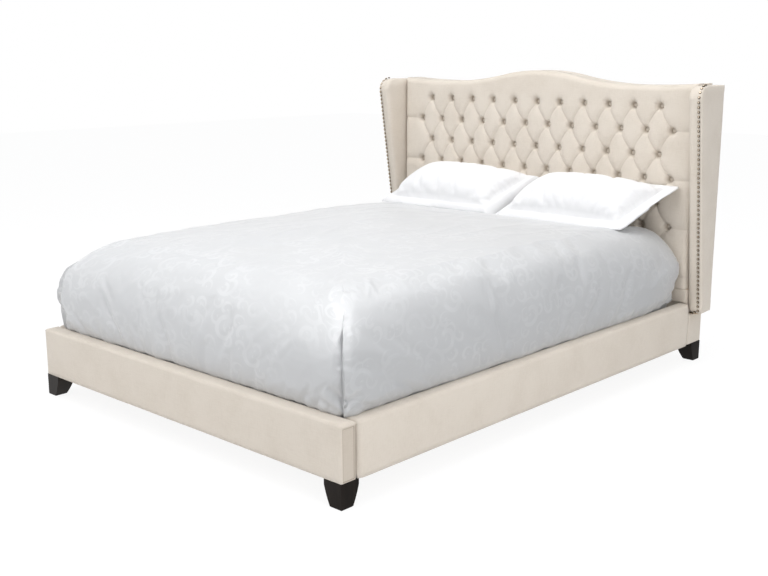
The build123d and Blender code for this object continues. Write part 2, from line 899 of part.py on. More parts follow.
def mattress_form(gap):
    """The mattress, or with a gap the room that it needs inside the coverlet."""
    half_width = mattress_width / 2
    side_shoulder = half_width - mattress_side_shoulder
    foot_shoulder = mattress_foot + mattress_foot_shoulder
    head_shoulder = mattress_head - mattress_head_shoulder
    tuck_top = (mattress_low + mattress_level) / 2
    end_view = crowned_view(
        (
            (-half_width, -side_shoulder, mattress_shoulder_z),
            (half_width, side_shoulder, mattress_shoulder_z),
        ),
        mattress_low,
        mattress_level,
        0,
        tuck_top,
        (0, mattress_top),
    )
    side_view = crowned_view(
        (
            (mattress_foot, foot_shoulder, mattress_shoulder_z),
            (mattress_head, head_shoulder, mattress_head_z),
        ),
        mattress_low,
        mattress_level,
        0,
        tuck_top,
        (mattress_crown_y, mattress_top + crown_lift),
    )
    plan = bed_plan(mattress_width, mattress_foot, mattress_head, mattress_corner)
    return bed_layer(end_view, side_view, plan, gap)


with BuildPart() as mattress:
    add(mattress_form(0))

# Coverlet: a puffy cap over the mattress, tucked in between it and the frame
cover_gap = 0.8
cover_lift = 12
cover_puff = 43
cover_shoulder_puff = 37
cover_head_puff = 42
cover_side_lap = 20
cover_foot_lap = 18
cover_head_gap = 5
cover_corner = 40
cover_tuck = 24
cover_tuck_depth = 7
cover_side_shoulder = 150
cover_foot_shoulder = 145
cover_head_shoulder = 40
cover_low = slat_top + cover_lift
cover_width = 2 * (rail_inner + cover_side_lap)
cover_tuck_top = panel_top - cover_tuck_depth
cover_level = mattress_level
cover_shoulder_z = mattress_shoulder_z + cover_shoulder_puff
cover_head_z = mattress_head_z + cover_head_puff
cover_top = mattress_top + cover_puff
cover_foot = rail_start - cover_foot_lap
cover_head = crown_y - cover_head_gap


def coverlet_form(gap):
    """The coverlet's outside, or with a gap the space that nothing on it may enter."""
    half_width = cover_width / 2
    side_shoulder = half_width - cover_side_shoulder
    foot_shoulder = cover_foot + cover_foot_shoulder
    head_shoulder = cover_head - cover_head_shoulder
    end_view = crowned_view(
        (
            (-half_width, -side_shoulder, cover_shoulder_z),
            (half_width, side_shoulder, cover_shoulder_z),
        ),
        cover_low,
        cover_level,
        cover_tuck,
        cover_tuck_top,
        (0, cover_top),
    )
    side_view = crowned_view(
        (
            (cover_foot, foot_shoulder, cover_shoulder_z),
            (cover_head, head_shoulder, cover_head_z),
        ),
        cover_low,
        cover_level,
        cover_tuck,
        cover_tuck_top,
        (mattress_crown_y, cover_top + crown_lift),
    )
    plan = bed_plan(cover_width, cover_foot, cover_head, cover_corner)
    return bed_layer(end_view, side_view, plan, gap)


# A folded pleat runs down the coverlet at each foot corner
pleat_from_foot = 28
pleat_width = 13
pleat_stand = 7
pleat_drop = 52
pleat_top = cover_shoulder_z - pleat_drop

with BuildPart() as corner_pleat:
    with Locations((pleat_stand, 0, 0)):
        add(coverlet_form(0))
    with BuildSketch(Plane.XY.offset(panel_top + cloth)):
        add(
            rectangle_between(
                mattress_width / 2,
                footboard_width / 2,
                cover_foot + pleat_from_foot,
                cover_foot + pleat_from_foot + pleat_width,
            )
        )
    extrude(amount=pleat_top - panel_top - cloth, mode=Mode.INTERSECT)

with BuildPart() as coverlet:
    add(coverlet_form(0))
    add(corner_pleat.part)
    mirror(corner_pleat.part, about=Plane.YZ)
    add(mattress_form(cover_gap), mode=Mode.SUBTRACT)

# Pillows in flanged cases, propped against the headboard
pillow_width = 690
pillow_front_gap = 332
pillow_rear_gap = 1.5
pillow_front_lift = 6
pillow_rise = 169
pillow_skew = 18
pillow_flange = 50
pillow_cloth = 6
pillow_top_swell = 66
pillow_belly = 152
pillow_ear = 14
pillow_ear_share = 0.16
pillow_side_share = 1.08
pillow_pair_gap = 26
pillow_right_x = -8
pillow_left_x = pillow_right_x - pillow_pair_gap - pillow_width
pillow_front_z = cover_shoulder_z + pillow_front_lift
pillow_rear_y = crown_y - pillow_rear_gap
pillow_front_y = crown_y - pillow_front_gap
pillow_run = pillow_rear_y - pillow_front_y
pillow_lean_x = pillow_run * tan(radians(pillow_skew))
pillow_side = Vector(pillow_lean_x, pillow_run, pillow_rise)
pillow_length = pillow_side.length
pillow_across = Vector(1, 0, 0)
pillow_along = pillow_side.normalized()
pillow_up = pillow_across.cross(pillow_along).normalized()
pillow_lean = pillow_along.dot(pillow_across)
pillow_square = (pillow_along - pillow_across * pillow_lean).length


def pillow_lens(corner, edge_way, length, fullness):
    """The filling's outline square to one pair of edges: a flatter arc above, a deeper one below."""
    across = pillow_up.cross(edge_way)
    seat = Plane(origin=corner, x_dir=across, z_dir=across.cross(pillow_up))
    start, middle, end = pillow_flange, length / 2, length - pillow_flange
    edge = pillow_cloth / 4
    with BuildSketch(seat) as lens:
        with BuildLine():
            over = ThreePointArc((start, edge), (middle, pillow_top_swell * fullness), (end, edge))
            under = ThreePointArc((end, -edge), (middle, -pillow_belly * fullness), (start, -edge))
            Line(over @ 1, under @ 0)
            Line(under @ 1, over @ 0)
        make_face()
    return lens.sketch


def pillow_outline():
    """The case seen square on, with its four corners drawn out into ears, as points."""
    lows = (0, pillow_ear_share, 1 - pillow_ear_share, 1)
    points = []
    for share in lows:
        points.append((pillow_width * share, pillow_ear * (0 < share < 1)))
    for share in lows[1:]:
        points.append((pillow_width - pillow_ear * (share < 1), pillow_length * share))
    for share in lows[-2::-1]:
        points.append((pillow_width * share, pillow_length - pillow_ear * (share > 0)))
    for share in lows[-2:0:-1]:
        points.append((pillow_ear, pillow_length * share))
    return points


def pillow_form(left_x):
    """A pillow whose front edge starts at left_x. Its side edges lean over by the skew."""
    corner = Vector(left_x, pillow_front_y, pillow_front_z)
    with BuildPart() as form:
        front_lens = pillow_lens(corner, pillow_across, pillow_length * pillow_square, 1)
        extrude(front_lens, amount=pillow_width + pillow_length, both=True)
        side_length = pillow_width * pillow_square
        side_lens = pillow_lens(corner, -pillow_along, side_length, pillow_side_share)
        extrude(side_lens, amount=pillow_width + pillow_length, both=True, mode=Mode.INTERSECT)
        underside = corner - pillow_up * (pillow_cloth / 2)
        base = Plane(origin=underside, x_dir=pillow_across, z_dir=pillow_up)
        with BuildSketch(base):
            with BuildLine():
                Polyline(
                    *[(u + v * pillow_lean, v * pillow_square) for u, v in pillow_outline()],
                    close=True,
                )
            make_face()
        extrude(amount=pillow_cloth)
        add(coverlet_form(seat_gap), mode=Mode.SUBTRACT)
    return form.part


with BuildPart() as pillow_right:
    add(pillow_form(pillow_right_x))

with BuildPart() as pillow_left:
    add(pillow_form(pillow_left_x))

# Every piece is a node of its own
pieces = {
    "footboard_core": footboard_core,
    "footboard_cover": footboard_cover,
    "rail_core_right": rail_core_right,
    "rail_core_left": rail_core_left,
    "rail_cover_right": rail_cover_right,
    "rail_cover_left": rail_cover_left,
    "ledger_right": ledger_right,
    "ledger_left": ledger_left,
    "rail_brackets": rail_brackets,
    "bracket_bolts": bracket_bolts,
    "slat_straps": slat_straps,
    "centre_beam": centre_beam,
    "beam_hangers": beam_hangers,
    "leg_foot_right": leg_foot_right,
    "leg_foot_left": leg_foot_left,
    "leg_head_right": leg_head_right,
    "leg_head_left": leg_head_left,
    "leg_bolts": leg_bolts,
    "post_right": post_right,
    "post_left": post_left,
    "post_cover_right": post_cover_right,
    "post_cover_left": post_cover_left,
    "lower_panel": lower_panel,
    "lower_cover": lower_cover,
    "headboard_panel": headboard_panel,
    "back_cover": back_cover,
    "crest_boxing": crest_boxing,
    "tufted_pad": tufted_pad,
    "tuft_buttons": tuft_buttons,
    "wing_core_right": wing_core_right,
    "wing_core_left": wing_core_left,
    "wing_cover_right": wing_cover_right,
    "wing_cover_left": wing_cover_left,
    "nail_trim": nail_trim,
    "mattress": mattress,
    "coverlet": coverlet,
    "pillow_right": pillow_right,
    "pillow_left": pillow_left,
}
for number, slat in enumerate(slats, 1):
    pieces[f"slat_{number:02d}"] = slat
for number, (leg, foot) in enumerate(zip(centre_legs, levelling_feet), 1):
    pieces[f"centre_leg_{number}"] = leg
    pieces[f"levelling_foot_{number}"] = foot
for place, batten in zip(("bottom", "middle", "top"), battens):
    pieces[f"batten_{place}"] = batten

for name, piece in pieces.items():
    piece.part.label = name
    export_step(piece.part, f"parts/{name}.step")
print(len(pieces), "pieces written")
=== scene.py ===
# %% [markdown]
# # An upholstered bed, dressed in Blender
# The bed has a deep-tufted camelback headboard between two flared wings, padded rails and a padded
# footboard, and a mattress under a satin coverlet with two flanged pillows.
# The solid model holds every size. This lesson dresses it: each soft solid gives way to a modelled
# form that fills the same space, and each board, bolt and leg keeps its mesh and gets a finish.

# %% Load the solid model
import math

import bmesh
import bpy
import numpy as np
from mathutils import Matrix, Vector, noise


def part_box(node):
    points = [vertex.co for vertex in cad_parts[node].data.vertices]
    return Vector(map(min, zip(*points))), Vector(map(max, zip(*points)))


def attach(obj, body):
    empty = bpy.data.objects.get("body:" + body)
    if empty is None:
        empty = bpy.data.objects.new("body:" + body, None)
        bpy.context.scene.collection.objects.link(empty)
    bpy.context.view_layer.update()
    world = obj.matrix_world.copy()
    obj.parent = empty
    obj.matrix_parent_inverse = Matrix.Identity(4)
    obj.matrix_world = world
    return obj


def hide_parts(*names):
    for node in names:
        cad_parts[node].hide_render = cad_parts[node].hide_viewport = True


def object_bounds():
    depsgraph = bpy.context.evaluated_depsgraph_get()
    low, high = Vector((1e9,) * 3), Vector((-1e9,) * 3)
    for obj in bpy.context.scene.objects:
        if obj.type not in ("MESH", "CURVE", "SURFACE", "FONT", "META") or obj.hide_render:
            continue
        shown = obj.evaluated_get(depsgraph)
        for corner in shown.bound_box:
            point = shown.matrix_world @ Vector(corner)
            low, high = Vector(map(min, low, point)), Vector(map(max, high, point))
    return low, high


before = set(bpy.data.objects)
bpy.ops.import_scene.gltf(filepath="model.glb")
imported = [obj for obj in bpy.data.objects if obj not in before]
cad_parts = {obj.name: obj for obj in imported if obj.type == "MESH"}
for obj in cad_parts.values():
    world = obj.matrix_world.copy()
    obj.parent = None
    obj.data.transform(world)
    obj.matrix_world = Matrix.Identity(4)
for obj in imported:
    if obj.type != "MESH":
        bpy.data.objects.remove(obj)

scene = bpy.context.scene
solid_low, solid_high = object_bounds()
print("solid model", [round(side, 3) for side in solid_high - solid_low])

# %% [markdown]
# ## Camera
# The photograph is taken from beyond the bed's near foot corner, a little above the headboard's top.
# The three sides of the footboard and rail run to vanishing points, and these fix where the camera
# stands. A 50 mm lens on a full frame fits them, so the camera stands there and is turned by two
# angles only, its tilt and its heading.

# %% Set the camera where the photograph was taken
camera_data = bpy.data.cameras.new("camera")
camera_data.lens = 50.41
camera_data.sensor_width = 36
camera_data.sensor_fit = "HORIZONTAL"
camera = bpy.data.objects.new("camera", camera_data)
scene.collection.objects.link(camera)
camera.location = (2.957, -3.217, 1.340)
camera_tilt, camera_heading = 77.57, 42.98
camera.rotation_euler = (math.radians(camera_tilt), 0, math.radians(camera_heading))
scene.camera = camera
scene.view_settings.view_transform = "Standard"

# %% [markdown]
# ## Light, floor and surroundings
# A photographer lights a bed with broad soft boxes in a white room, so no shadow has a hard edge.
# The world has three faces. The camera sees plain white. The bed is lit by a softer white. And a
# glossy cloth mirrors a room that is bright on the left, where the big window is, and dim on the
# right, which is why satin looks bright on one side of the bed and grey on the other.
# The floor shows white as well, but keeps part of its own shading, so the bed's shadow stays. In
# glossy cloth it mirrors as the room does, bright on the left and dim on the right.
# Light, floor and finishes are all made of shader nodes, so short ways to add, join and grade them
# come first.

# %% Short ways to add nodes
def node_adder(tree):
    """A function that adds a node to this tree, with values or other nodes' outputs as inputs."""

    def node(kind, inputs=(), **settings):
        made = tree.nodes.new("ShaderNode" + kind)
        for key, value in settings.items():
            setattr(made, key, value)
        for key, value in dict(inputs).items():
            if isinstance(value, bpy.types.NodeSocket):
                tree.links.new(value, made.inputs[key])
            else:
                made.inputs[key].default_value = value
        return made

    return node


def maths(node, operation, *values):
    """The outcome of one sum on numbers or outputs."""
    return node("Math", dict(enumerate(values)), operation=operation).outputs[0]


def graded(node, value, start, end, first, last):
    """A value that goes from first to last while another goes from start to end."""
    ends = {"From Min": start, "From Max": end, "To Min": first, "To Max": last}
    return node("MapRange", {"Value": value, **ends}).outputs[0]


def blend(node, share, first, second):
    """A mix of two shaders, with the second one's share."""
    return node("MixShader", {0: share, 1: first.outputs[0], 2: second.outputs[0]})


# %% Light the bed
world = bpy.data.worlds.new("white_room")
scene.world = world
world.use_nodes = True
tree = world.node_tree
node = node_adder(tree)
room_light = tree.nodes["Background"]
room_light.inputs["Color"].default_value = (0.97, 0.98, 1.0, 1)
room_light.inputs["Strength"].default_value = 0.60
window_side = node(
    "VectorMath", {0: node("TexCoord").outputs["Generated"], 1: (-0.80, -0.25, 0.55)},
    operation="DOT_PRODUCT",
)
mirrored_strength = graded(node, window_side.outputs["Value"], -0.6, 0.6, 0.12, 1.9)
room_mirrored = node("Background", {"Strength": mirrored_strength})
room_seen = node("Background", {"Color": (1, 1, 1, 1)})
rays = node("LightPath").outputs
room_lit = blend(node, rays["Is Glossy Ray"], room_light, room_mirrored)
room = blend(node, rays["Is Camera Ray"], room_lit, room_seen)
tree.links.new(room.outputs[0], tree.nodes["World Output"].inputs["Surface"])


def soft_box(name, place, aim, size, watts):
    """A square lamp at a place, turned to face a point."""
    lamp = bpy.data.lights.new(name, "AREA")
    lamp.size = size
    lamp.energy = watts
    holder = bpy.data.objects.new(name, lamp)
    scene.collection.objects.link(holder)
    holder.location = place
    holder.rotation_euler = (Vector(aim) - Vector(place)).to_track_quat("-Z", "Y").to_euler()


soft_box("key_light", (-1.5, -3.9, 3.5), (0, 0, 0.5), 2.6, 41)
soft_box("top_light", (0.3, -0.6, 4.2), (0, 0, 0.6), 3.2, 96)
soft_box("fill_light", (3.8, -1.6, 2.2), (0, 0, 0.4), 2.4, 35)

# %% Lay the floor
floor_size = 14
bm = bmesh.new()
bmesh.ops.create_grid(bm, x_segments=4, y_segments=4, size=floor_size)
floor_mesh = bpy.data.meshes.new("floor")
bm.to_mesh(floor_mesh)
bm.free()
floor = bpy.data.objects.new("floor", floor_mesh)
scene.collection.objects.link(floor)

floor_finish = bpy.data.materials.new("white_floor")
floor_finish.use_nodes = True
tree = floor_finish.node_tree
node = node_adder(tree)
matt = tree.nodes["Principled BSDF"]
matt.inputs["Base Color"].default_value = (0.96, 0.96, 0.96, 1)
matt.inputs["Roughness"].default_value = 1
matt.inputs["Specular IOR Level"].default_value = 0
glow = node("Emission", {"Strength": 1.05})
rays = node("LightPath").outputs
glow_share = maths(node, "MULTIPLY", rays["Is Camera Ray"], 0.86)
floor_plain = blend(node, glow_share, matt, glow)
floor_place = node("SeparateXYZ", {0: node("TexCoord").outputs["Object"]})
window_fall = graded(node, floor_place.outputs["X"], 0.0, 1.4, 0.95, 0.08)
floor_mirrored = node("Emission", {"Strength": window_fall})
floor_look = blend(node, rays["Is Glossy Ray"], floor_plain, floor_mirrored)
tree.links.new(floor_look.outputs[0], tree.nodes["Material Output"].inputs["Surface"])
floor_mesh.materials.append(floor_finish)

# %% [markdown]
# ## Finishes
# Each finish is built from noise and wave patterns, so it has no picture behind it and stays sharp
# at any distance. Most read the piece's own place in the room, in metres, so a thread is as wide on
# the headboard as on a rail. Helpers for noise, colour and relief keep each recipe short.

# %% Short ways to build a finish
def new_finish(name, values):
    """A material whose shader has these values, and functions that add a node and join the shader."""
    finish = bpy.data.materials.new(name)
    finish.use_nodes = True
    tree = finish.node_tree
    sockets = tree.nodes["Principled BSDF"].inputs
    for key, value in values.items():
        sockets[key].default_value = value

    def join(key, output):
        tree.links.new(output, sockets[key])

    return finish, node_adder(tree), join


def colours(node, factor, stops):
    """A colour ramp between stops of (place, (r, g, b))."""
    ramp = node("ValToRGB", {"Fac": factor})
    elements = ramp.color_ramp.elements
    while len(elements) < len(stops):
        elements.new(0.5)
    for element, (place, colour) in zip(elements, stops):
        element.position = place
        element.color = (*colour, 1)
    return ramp.outputs["Color"]


def stretched(node, coordinates, scale):
    """Coordinates scaled apart along each axis, which draws a pattern out."""
    return node("Mapping", {"Vector": coordinates, "Scale": scale}).outputs["Vector"]


def clouds(node, coordinates, scale, detail=2.0, distortion=0.0):
    """Soft noise from 0 to 1."""
    kind = {"Scale": scale, "Detail": detail, "Distortion": distortion}
    return node("TexNoise", {"Vector": coordinates, **kind}).outputs["Fac"]


def mixed(node, share, first, second):
    """A mix of two patterns, with the second one's share."""
    return node("Mix", {0: share, 2: first, 3: second}, data_type="FLOAT").outputs[0]


def emboss(node, join, height, strength, distance):
    """Lets a pattern catch the light as relief."""
    bump = node("Bump", {"Height": height, "Strength": strength, "Distance": distance})
    join("Normal", bump.outputs["Normal"])


finishes = {}

# %% [markdown]
# ### Linen-look upholstery
# The cover is a plain cream weave. Up close it is a grid of threads, some thicker than others.
# From a step away only a slight mottling is left. Three sets of bands, one for each axis, give a
# grid of threads on any face, and drawn-out noise thickens some of the threads. Where a piece has
# an attribute of painted shade, the cloth is painted darker, as shade in its tufts, creases and seams.

# %% Cream upholstery cloth
thread_scale = 190
# Painted shade: the dark brown that the cloth is mixed towards where shade falls in tufts, creases and
# seams.
painted_shade_colour = (0.30, 0.235, 0.17, 1)


def weave_height(node, coordinates, scale):
    """Threads that cross on a face that looks along any axis."""
    thread = {"Vector": coordinates, "Scale": scale, "Distortion": 0.35, "Detail": 1.0}
    bands = [node("TexWave", thread, bands_direction=way).outputs["Fac"] for way in "XYZ"]
    return maths(node, "ADD", maths(node, "ADD", *bands[:2]), bands[2])


def upholstery_cloth(name, light, dark):
    finish, node, join = new_finish(name, {
        "Roughness": 0.92, "Specular IOR Level": 0.25, "Sheen Weight": 0.18, "Sheen Roughness": 0.5,
    })
    place = node("TexCoord").outputs["Object"]
    level = clouds(node, stretched(node, place, (45, 45, 700)), 1.0)
    upright = clouds(node, stretched(node, place, (600, 600, 40)), 1.0)
    slubs = maths(node, "ADD", level, upright)
    tone = mixed(node, 0.42, clouds(node, place, 7.0, 4.0), slubs)
    clean = colours(node, tone, ((0.38, dark), (0.78, light)))
    # Painted shade: where a piece's attribute asks for it, the cloth is mixed towards that dark brown.
    painted_shade = node("Attribute", attribute_name="painted_shade").outputs["Fac"]
    shaded = node("Mix", {0: painted_shade, 6: clean, 7: painted_shade_colour}, data_type="RGBA")
    join("Base Color", shaded.outputs[2])
    threads = weave_height(node, place, thread_scale)
    emboss(node, join, maths(node, "ADD", threads, slubs), 0.35, 0.0006)
    return finish


finishes["upholstery"] = upholstery_cloth("cream_linen", (0.708, 0.643, 0.562), (0.622, 0.554, 0.472))

# %% [markdown]
# ### Silver satin with a woven scroll pattern
# The coverlet is grey satin whose pattern only shows where the light falls across it, because the
# weave changes from a shiny face to a dull one and back. Its motif is a scroll: rings about a middle
# point, open on one side. A cell pattern scatters the middles, and each cell's colour turns its
# scroll another way. Large and small scrolls are laid over each other. The pattern follows the
# cloth, so it reads the piece's own flat coordinates, which are metres of cloth.

# %% Coverlet satin
def scrolls(node, flat, size, ring_count):
    """Open rings scattered over the cloth, about a size apart, from 0 to 1."""
    cell = node(
        "TexVoronoi", {"Vector": flat, "Scale": 1 / size, "Randomness": 0.7}, voronoi_dimensions="2D"
    )
    away = node("VectorMath", {0: flat, 1: cell.outputs["Position"]}, operation="SUBTRACT")
    parts = node("SeparateXYZ", {0: away.outputs[0]}).outputs
    turn = maths(node, "ARCTAN2", parts[1], parts[0])
    chance = node("SeparateColor", {0: cell.outputs["Color"]}).outputs[0]
    turned = maths(node, "MULTIPLY_ADD", chance, 2 * math.pi, turn)
    wide = cell.outputs["Distance"]
    spiral = maths(node, "MULTIPLY_ADD", wide, ring_count * 4 * math.pi, turned)
    band = graded(node, maths(node, "SINE", spiral), 0.1, 0.6, 0.0, 1.0)
    open_side = graded(node, maths(node, "COSINE", turned), 0.5, 0.9, 1.0, 0.0)
    inside = graded(node, wide, 0.40, 0.47, 1.0, 0.0)
    return maths(node, "MULTIPLY", maths(node, "MULTIPLY", band, open_side), inside)


def satin(name, dull, bright):
    finish, node, join = new_finish(name, {
        "Roughness": 0.5, "IOR": 1.9, "Specular IOR Level": 0.8, "Sheen Weight": 0.9,
        "Sheen Roughness": 0.3,
    })
    flat = node("UVMap", uv_map="cloth").outputs["UV"]
    large_size, small_size = 0.125, 0.062
    large, small = scrolls(node, flat, large_size, 1.6), scrolls(node, flat, small_size, 1.0)
    drift = clouds(node, flat, 4.0, 3.0)
    worn = graded(node, drift, 0.35, 0.62, 0.0, 1.0)
    figure = maths(node, "MULTIPLY", maths(node, "MAXIMUM", large, small), worn)
    join("Base Color", colours(node, mixed(node, 0.5, figure, drift), ((0.1, dull), (0.75, bright))))
    join("Roughness", graded(node, figure, 0.0, 1.0, 0.56, 0.46))
    thread = {"Vector": flat, "Scale": 260.0, "Distortion": 0.2}
    twill = node("TexWave", thread, bands_direction="DIAGONAL").outputs["Fac"]
    emboss(node, join, maths(node, "MULTIPLY_ADD", twill, 0.2, figure), 0.16, 0.001)
    return finish


finishes["coverlet_satin"] = satin("silver_satin", (0.50, 0.508, 0.518), (0.56, 0.568, 0.578))

# %% [markdown]
# ### White cotton, ticking and webbing
# Pillow cases are a plain fine cotton. Mattress ticking is off-white with a narrow woven stripe, and
# the straps that tie the slats are a coarse webbing.

# %% Cotton, ticking and webbing
def plain_cloth(name, light, dark, scale, roughness, depth):
    finish, node, join = new_finish(name, {"Roughness": roughness, "Sheen Weight": 0.1})
    place = node("TexCoord").outputs["Object"]
    join("Base Color", colours(node, clouds(node, place, 11.0, 3.0), ((0.3, dark), (0.7, light))))
    emboss(node, join, weave_height(node, place, scale), 0.25, depth)
    return finish


finishes["pillow_cotton"] = plain_cloth(
    "white_cotton", (0.84, 0.84, 0.845), (0.80, 0.80, 0.81), 420, 0.8, 0.0003
)
finishes["mattress_ticking"] = plain_cloth(
    "ticking", (0.80, 0.79, 0.76), (0.70, 0.69, 0.665), 160, 0.85, 0.0008
)
finishes["webbing"] = plain_cloth("webbing", (0.78, 0.76, 0.70), (0.62, 0.60, 0.54), 120, 0.9, 0.001)

# %% [markdown]
# ### Wood
# Every board shows grain along its length. Rings that are stretched a long way along one axis and
# bent by noise look like sawn grain, and finer noise adds pores. The direction of the grain is that
# of the board, so the same recipe is used with another axis for rails, slats and posts.

# %% Woods
def wood(name, light, dark, along, roughness, gloss=0.3):
    """Sawn or stained wood with its grain along one axis, 0 for x, 1 for y and 2 for z."""
    finish, node, join = new_finish(name, {"Roughness": roughness, "Specular IOR Level": gloss})
    place = node("TexCoord").outputs["Object"]
    coarse, fine = [26.0] * 3, [240.0] * 3
    coarse[along], fine[along] = 1.6, 9.0
    grain = clouds(node, stretched(node, place, coarse), 1.0, 6.0, 1.2)
    tone = mixed(node, 0.3, grain, clouds(node, stretched(node, place, fine), 1.0))
    join("Base Color", colours(node, tone, ((0.32, dark), (0.68, light))))
    emboss(node, join, tone, 0.25, 0.0006)
    return finish


ways = ("across", "lengthwise", "upright")
softwood = [
    wood(f"softwood_{way}", (0.60, 0.45, 0.28), (0.46, 0.32, 0.18), axis, 0.75)
    for axis, way in enumerate(ways)
]
pine = [
    wood(f"pine_{way}", (0.70, 0.54, 0.35), (0.56, 0.40, 0.23), axis, 0.65)
    for axis, way in enumerate(ways)
]
plywood = wood("plywood", (0.62, 0.47, 0.30), (0.52, 0.38, 0.23), 2, 0.8)
espresso = wood("espresso_stain", (0.017, 0.012, 0.009), (0.006, 0.004, 0.003), 2, 0.42, 0.22)

# %% [markdown]
# ### Metal and plastic
# The brackets are zinc plated, with faint spangles. The nail heads are a warm antique nickel, with
# a painted highlight on the crown and painted shade at the rim. The levelling feet are moulded
# plastic with a fine texture.

# %% Metal and plastic
def metal(name, light, dark, roughness, scale):
    finish, node, join = new_finish(name, {"Roughness": roughness, "Metallic": 1})
    place = node("TexCoord").outputs["Object"]
    spangle = node("TexVoronoi", {"Vector": place, "Scale": scale}).outputs["Distance"]
    wear = clouds(node, place, scale * 0.6, 3.0)
    tone = mixed(node, 0.5, spangle, wear)
    join("Base Color", colours(node, tone, ((0.25, dark), (0.7, light))))
    join("Roughness", graded(node, wear, 0.0, 1.0, roughness + 0.12, roughness - 0.08))
    return finish


def moulded(name, light, dark):
    finish, node, join = new_finish(name, {"Roughness": 0.55})
    pits = clouds(node, node("TexCoord").outputs["Object"], 900.0)
    join("Base Color", colours(node, pits, ((0.35, dark), (0.65, light))))
    emboss(node, join, pits, 0.3, 0.0003)
    return finish


def painted_shine_nickel(name):
    """Nail heads with painted shade at the rim and a painted highlight on the crown."""
    finish, node, join = new_finish(name, {"Roughness": 0.3, "Metallic": 1})
    # Painted highlight and shade: each dome's colour runs from dark at its rim to bright on its crown.
    across = node("SeparateXYZ", {0: node("UVMap", uv_map="dome").outputs["UV"]}).outputs[1]
    wear = clouds(node, node("TexCoord").outputs["Object"], 260.0, 3.0)
    tone = maths(node, "MULTIPLY_ADD", wear, 0.16, across)
    stops = ((0.62, (0.035, 0.024, 0.014)), (0.80, (0.20, 0.15, 0.10)), (0.96, (0.62, 0.53, 0.42)))
    join("Base Color", colours(node, tone, stops))
    join("Roughness", graded(node, wear, 0.0, 1.0, 0.36, 0.22))
    return finish


finishes["zinc_steel"] = metal("zinc_plate", (0.66, 0.67, 0.68), (0.50, 0.51, 0.52), 0.38, 160)
finishes["nail_metal"] = painted_shine_nickel("nickel_painted_shine_and_shade")
finishes["foot_plastic"] = moulded("black_plastic", (0.055, 0.055, 0.055), (0.04, 0.04, 0.04))

# %% [markdown]
# ### Finish the boards, bolts and legs
# These pieces already have their true shape in the solid model, so they keep their mesh. Each gets
# the finish that its name calls for.

# %% Dress the pieces that keep their mesh
zinc, webbing = finishes["zinc_steel"], finishes["webbing"]
node_finishes = {
    "footboard_core": softwood[0], "rail_core": softwood[1], "ledger": pine[1],
    "rail_brackets": zinc, "bracket_bolts": zinc, "beam_hangers": zinc, "leg_bolts": zinc,
    "slat_straps": webbing, "slat_": pine[0], "centre_beam": pine[1], "centre_leg": pine[2],
    "levelling_foot": finishes["foot_plastic"], "leg_": espresso, "post_": softwood[2],
    "lower_panel": plywood, "headboard_panel": plywood, "wing_core": softwood[2],
    "batten": softwood[0],
}
for name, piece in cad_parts.items():
    fitting = [key for key in node_finishes if name.startswith(key)]
    if fitting:
        piece.data.materials.clear()
        piece.data.materials.append(node_finishes[max(fitting, key=len)])
print(len(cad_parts), "nodes in the solid model")

# %% [markdown]
# ## Making a piece
# Every soft piece starts as a bmesh, which Blender's mesh operators cut, pull out and round. A few
# helpers do what most pieces need. One cuts a mesh into even strips, so that it can be swollen and
# creased, and one blows it up as cloth. Another hands the finished mesh over as a named piece with
# its finish and its body.

# %% Helpers that shape a mesh
def points_in(geometry):
    """The points among what an operator has made."""
    return [item for item in geometry if isinstance(item, bmesh.types.BMVert)]


def rim_of(geometry):
    """The open edges among what an operator has made."""
    return [item for item in geometry if isinstance(item, bmesh.types.BMEdge) and item.is_boundary]


def flat_net(columns, rows):
    """A net of faces from -1 to 1 both ways."""
    bm = bmesh.new()
    bmesh.ops.create_grid(bm, x_segments=columns, y_segments=rows, size=1)
    return bm


def block(low, high):
    """A box from its lowest to its highest corner."""
    bm = bmesh.new()
    bmesh.ops.create_cube(bm, size=1)
    bmesh.ops.scale(bm, verts=bm.verts[:], vec=high - low)
    bmesh.ops.translate(bm, verts=bm.verts[:], vec=(low + high) / 2)
    return bm


def round_off(bm, geometry, radius, segments, kind="EDGES"):
    """Rounds edges, or the corners of a flat outline."""
    bmesh.ops.bevel(
        bm, geom=geometry, offset=radius, segments=segments, profile=0.5, affect=kind, material=-1
    )


def pull_out(bm, faces, way):
    """Extrudes faces and moves the new ones."""
    made = bmesh.ops.extrude_face_region(bm, geom=faces)["geom"]
    bmesh.ops.translate(bm, verts=points_in(made), vec=way)


def face_outwards(bm):
    bmesh.ops.recalc_face_normals(bm, faces=bm.faces[:])


def slice_evenly(bm, axis, low, high, step):
    """Cuts the whole mesh by planes across one axis, about a step apart."""
    normal = Vector([float(axis == number) for number in range(3)])
    count = max(1, round((high - low) / step))
    for number in range(1, count):
        geometry = bm.verts[:] + bm.edges[:] + bm.faces[:]
        place = normal * (low + (high - low) * number / count)
        bmesh.ops.bisect_plane(bm, geom=geometry, plane_co=place, plane_no=normal, dist=1e-5)


# %% Helpers that hand over a piece
def hand_over(bm, name, body, slot, replaced):
    """Makes a bmesh a named piece that rides on a body, has a finish and stands for some nodes."""
    mesh = bpy.data.meshes.new(name)
    bm.to_mesh(mesh)
    bm.free()
    mesh.shade_smooth()
    mesh.materials.append(finishes[slot])
    piece = bpy.data.objects.new(name, mesh)
    scene.collection.objects.link(piece)
    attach(piece, body)
    if replaced:
        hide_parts(*replaced)
    return piece


def turn_faces_out(piece):
    """Makes the faces of a piece whose points have moved point outwards."""
    bm = bmesh.new()
    bm.from_mesh(piece.data)
    face_outwards(bm)
    bm.to_mesh(piece.data)
    bm.free()


def thicken(piece, name, thickness, side):
    """Gives a net a thickness, inwards on side -1 and outwards on side 1."""
    wall = piece.modifiers.new(name, "SOLIDIFY")
    wall.thickness, wall.offset = thickness, side


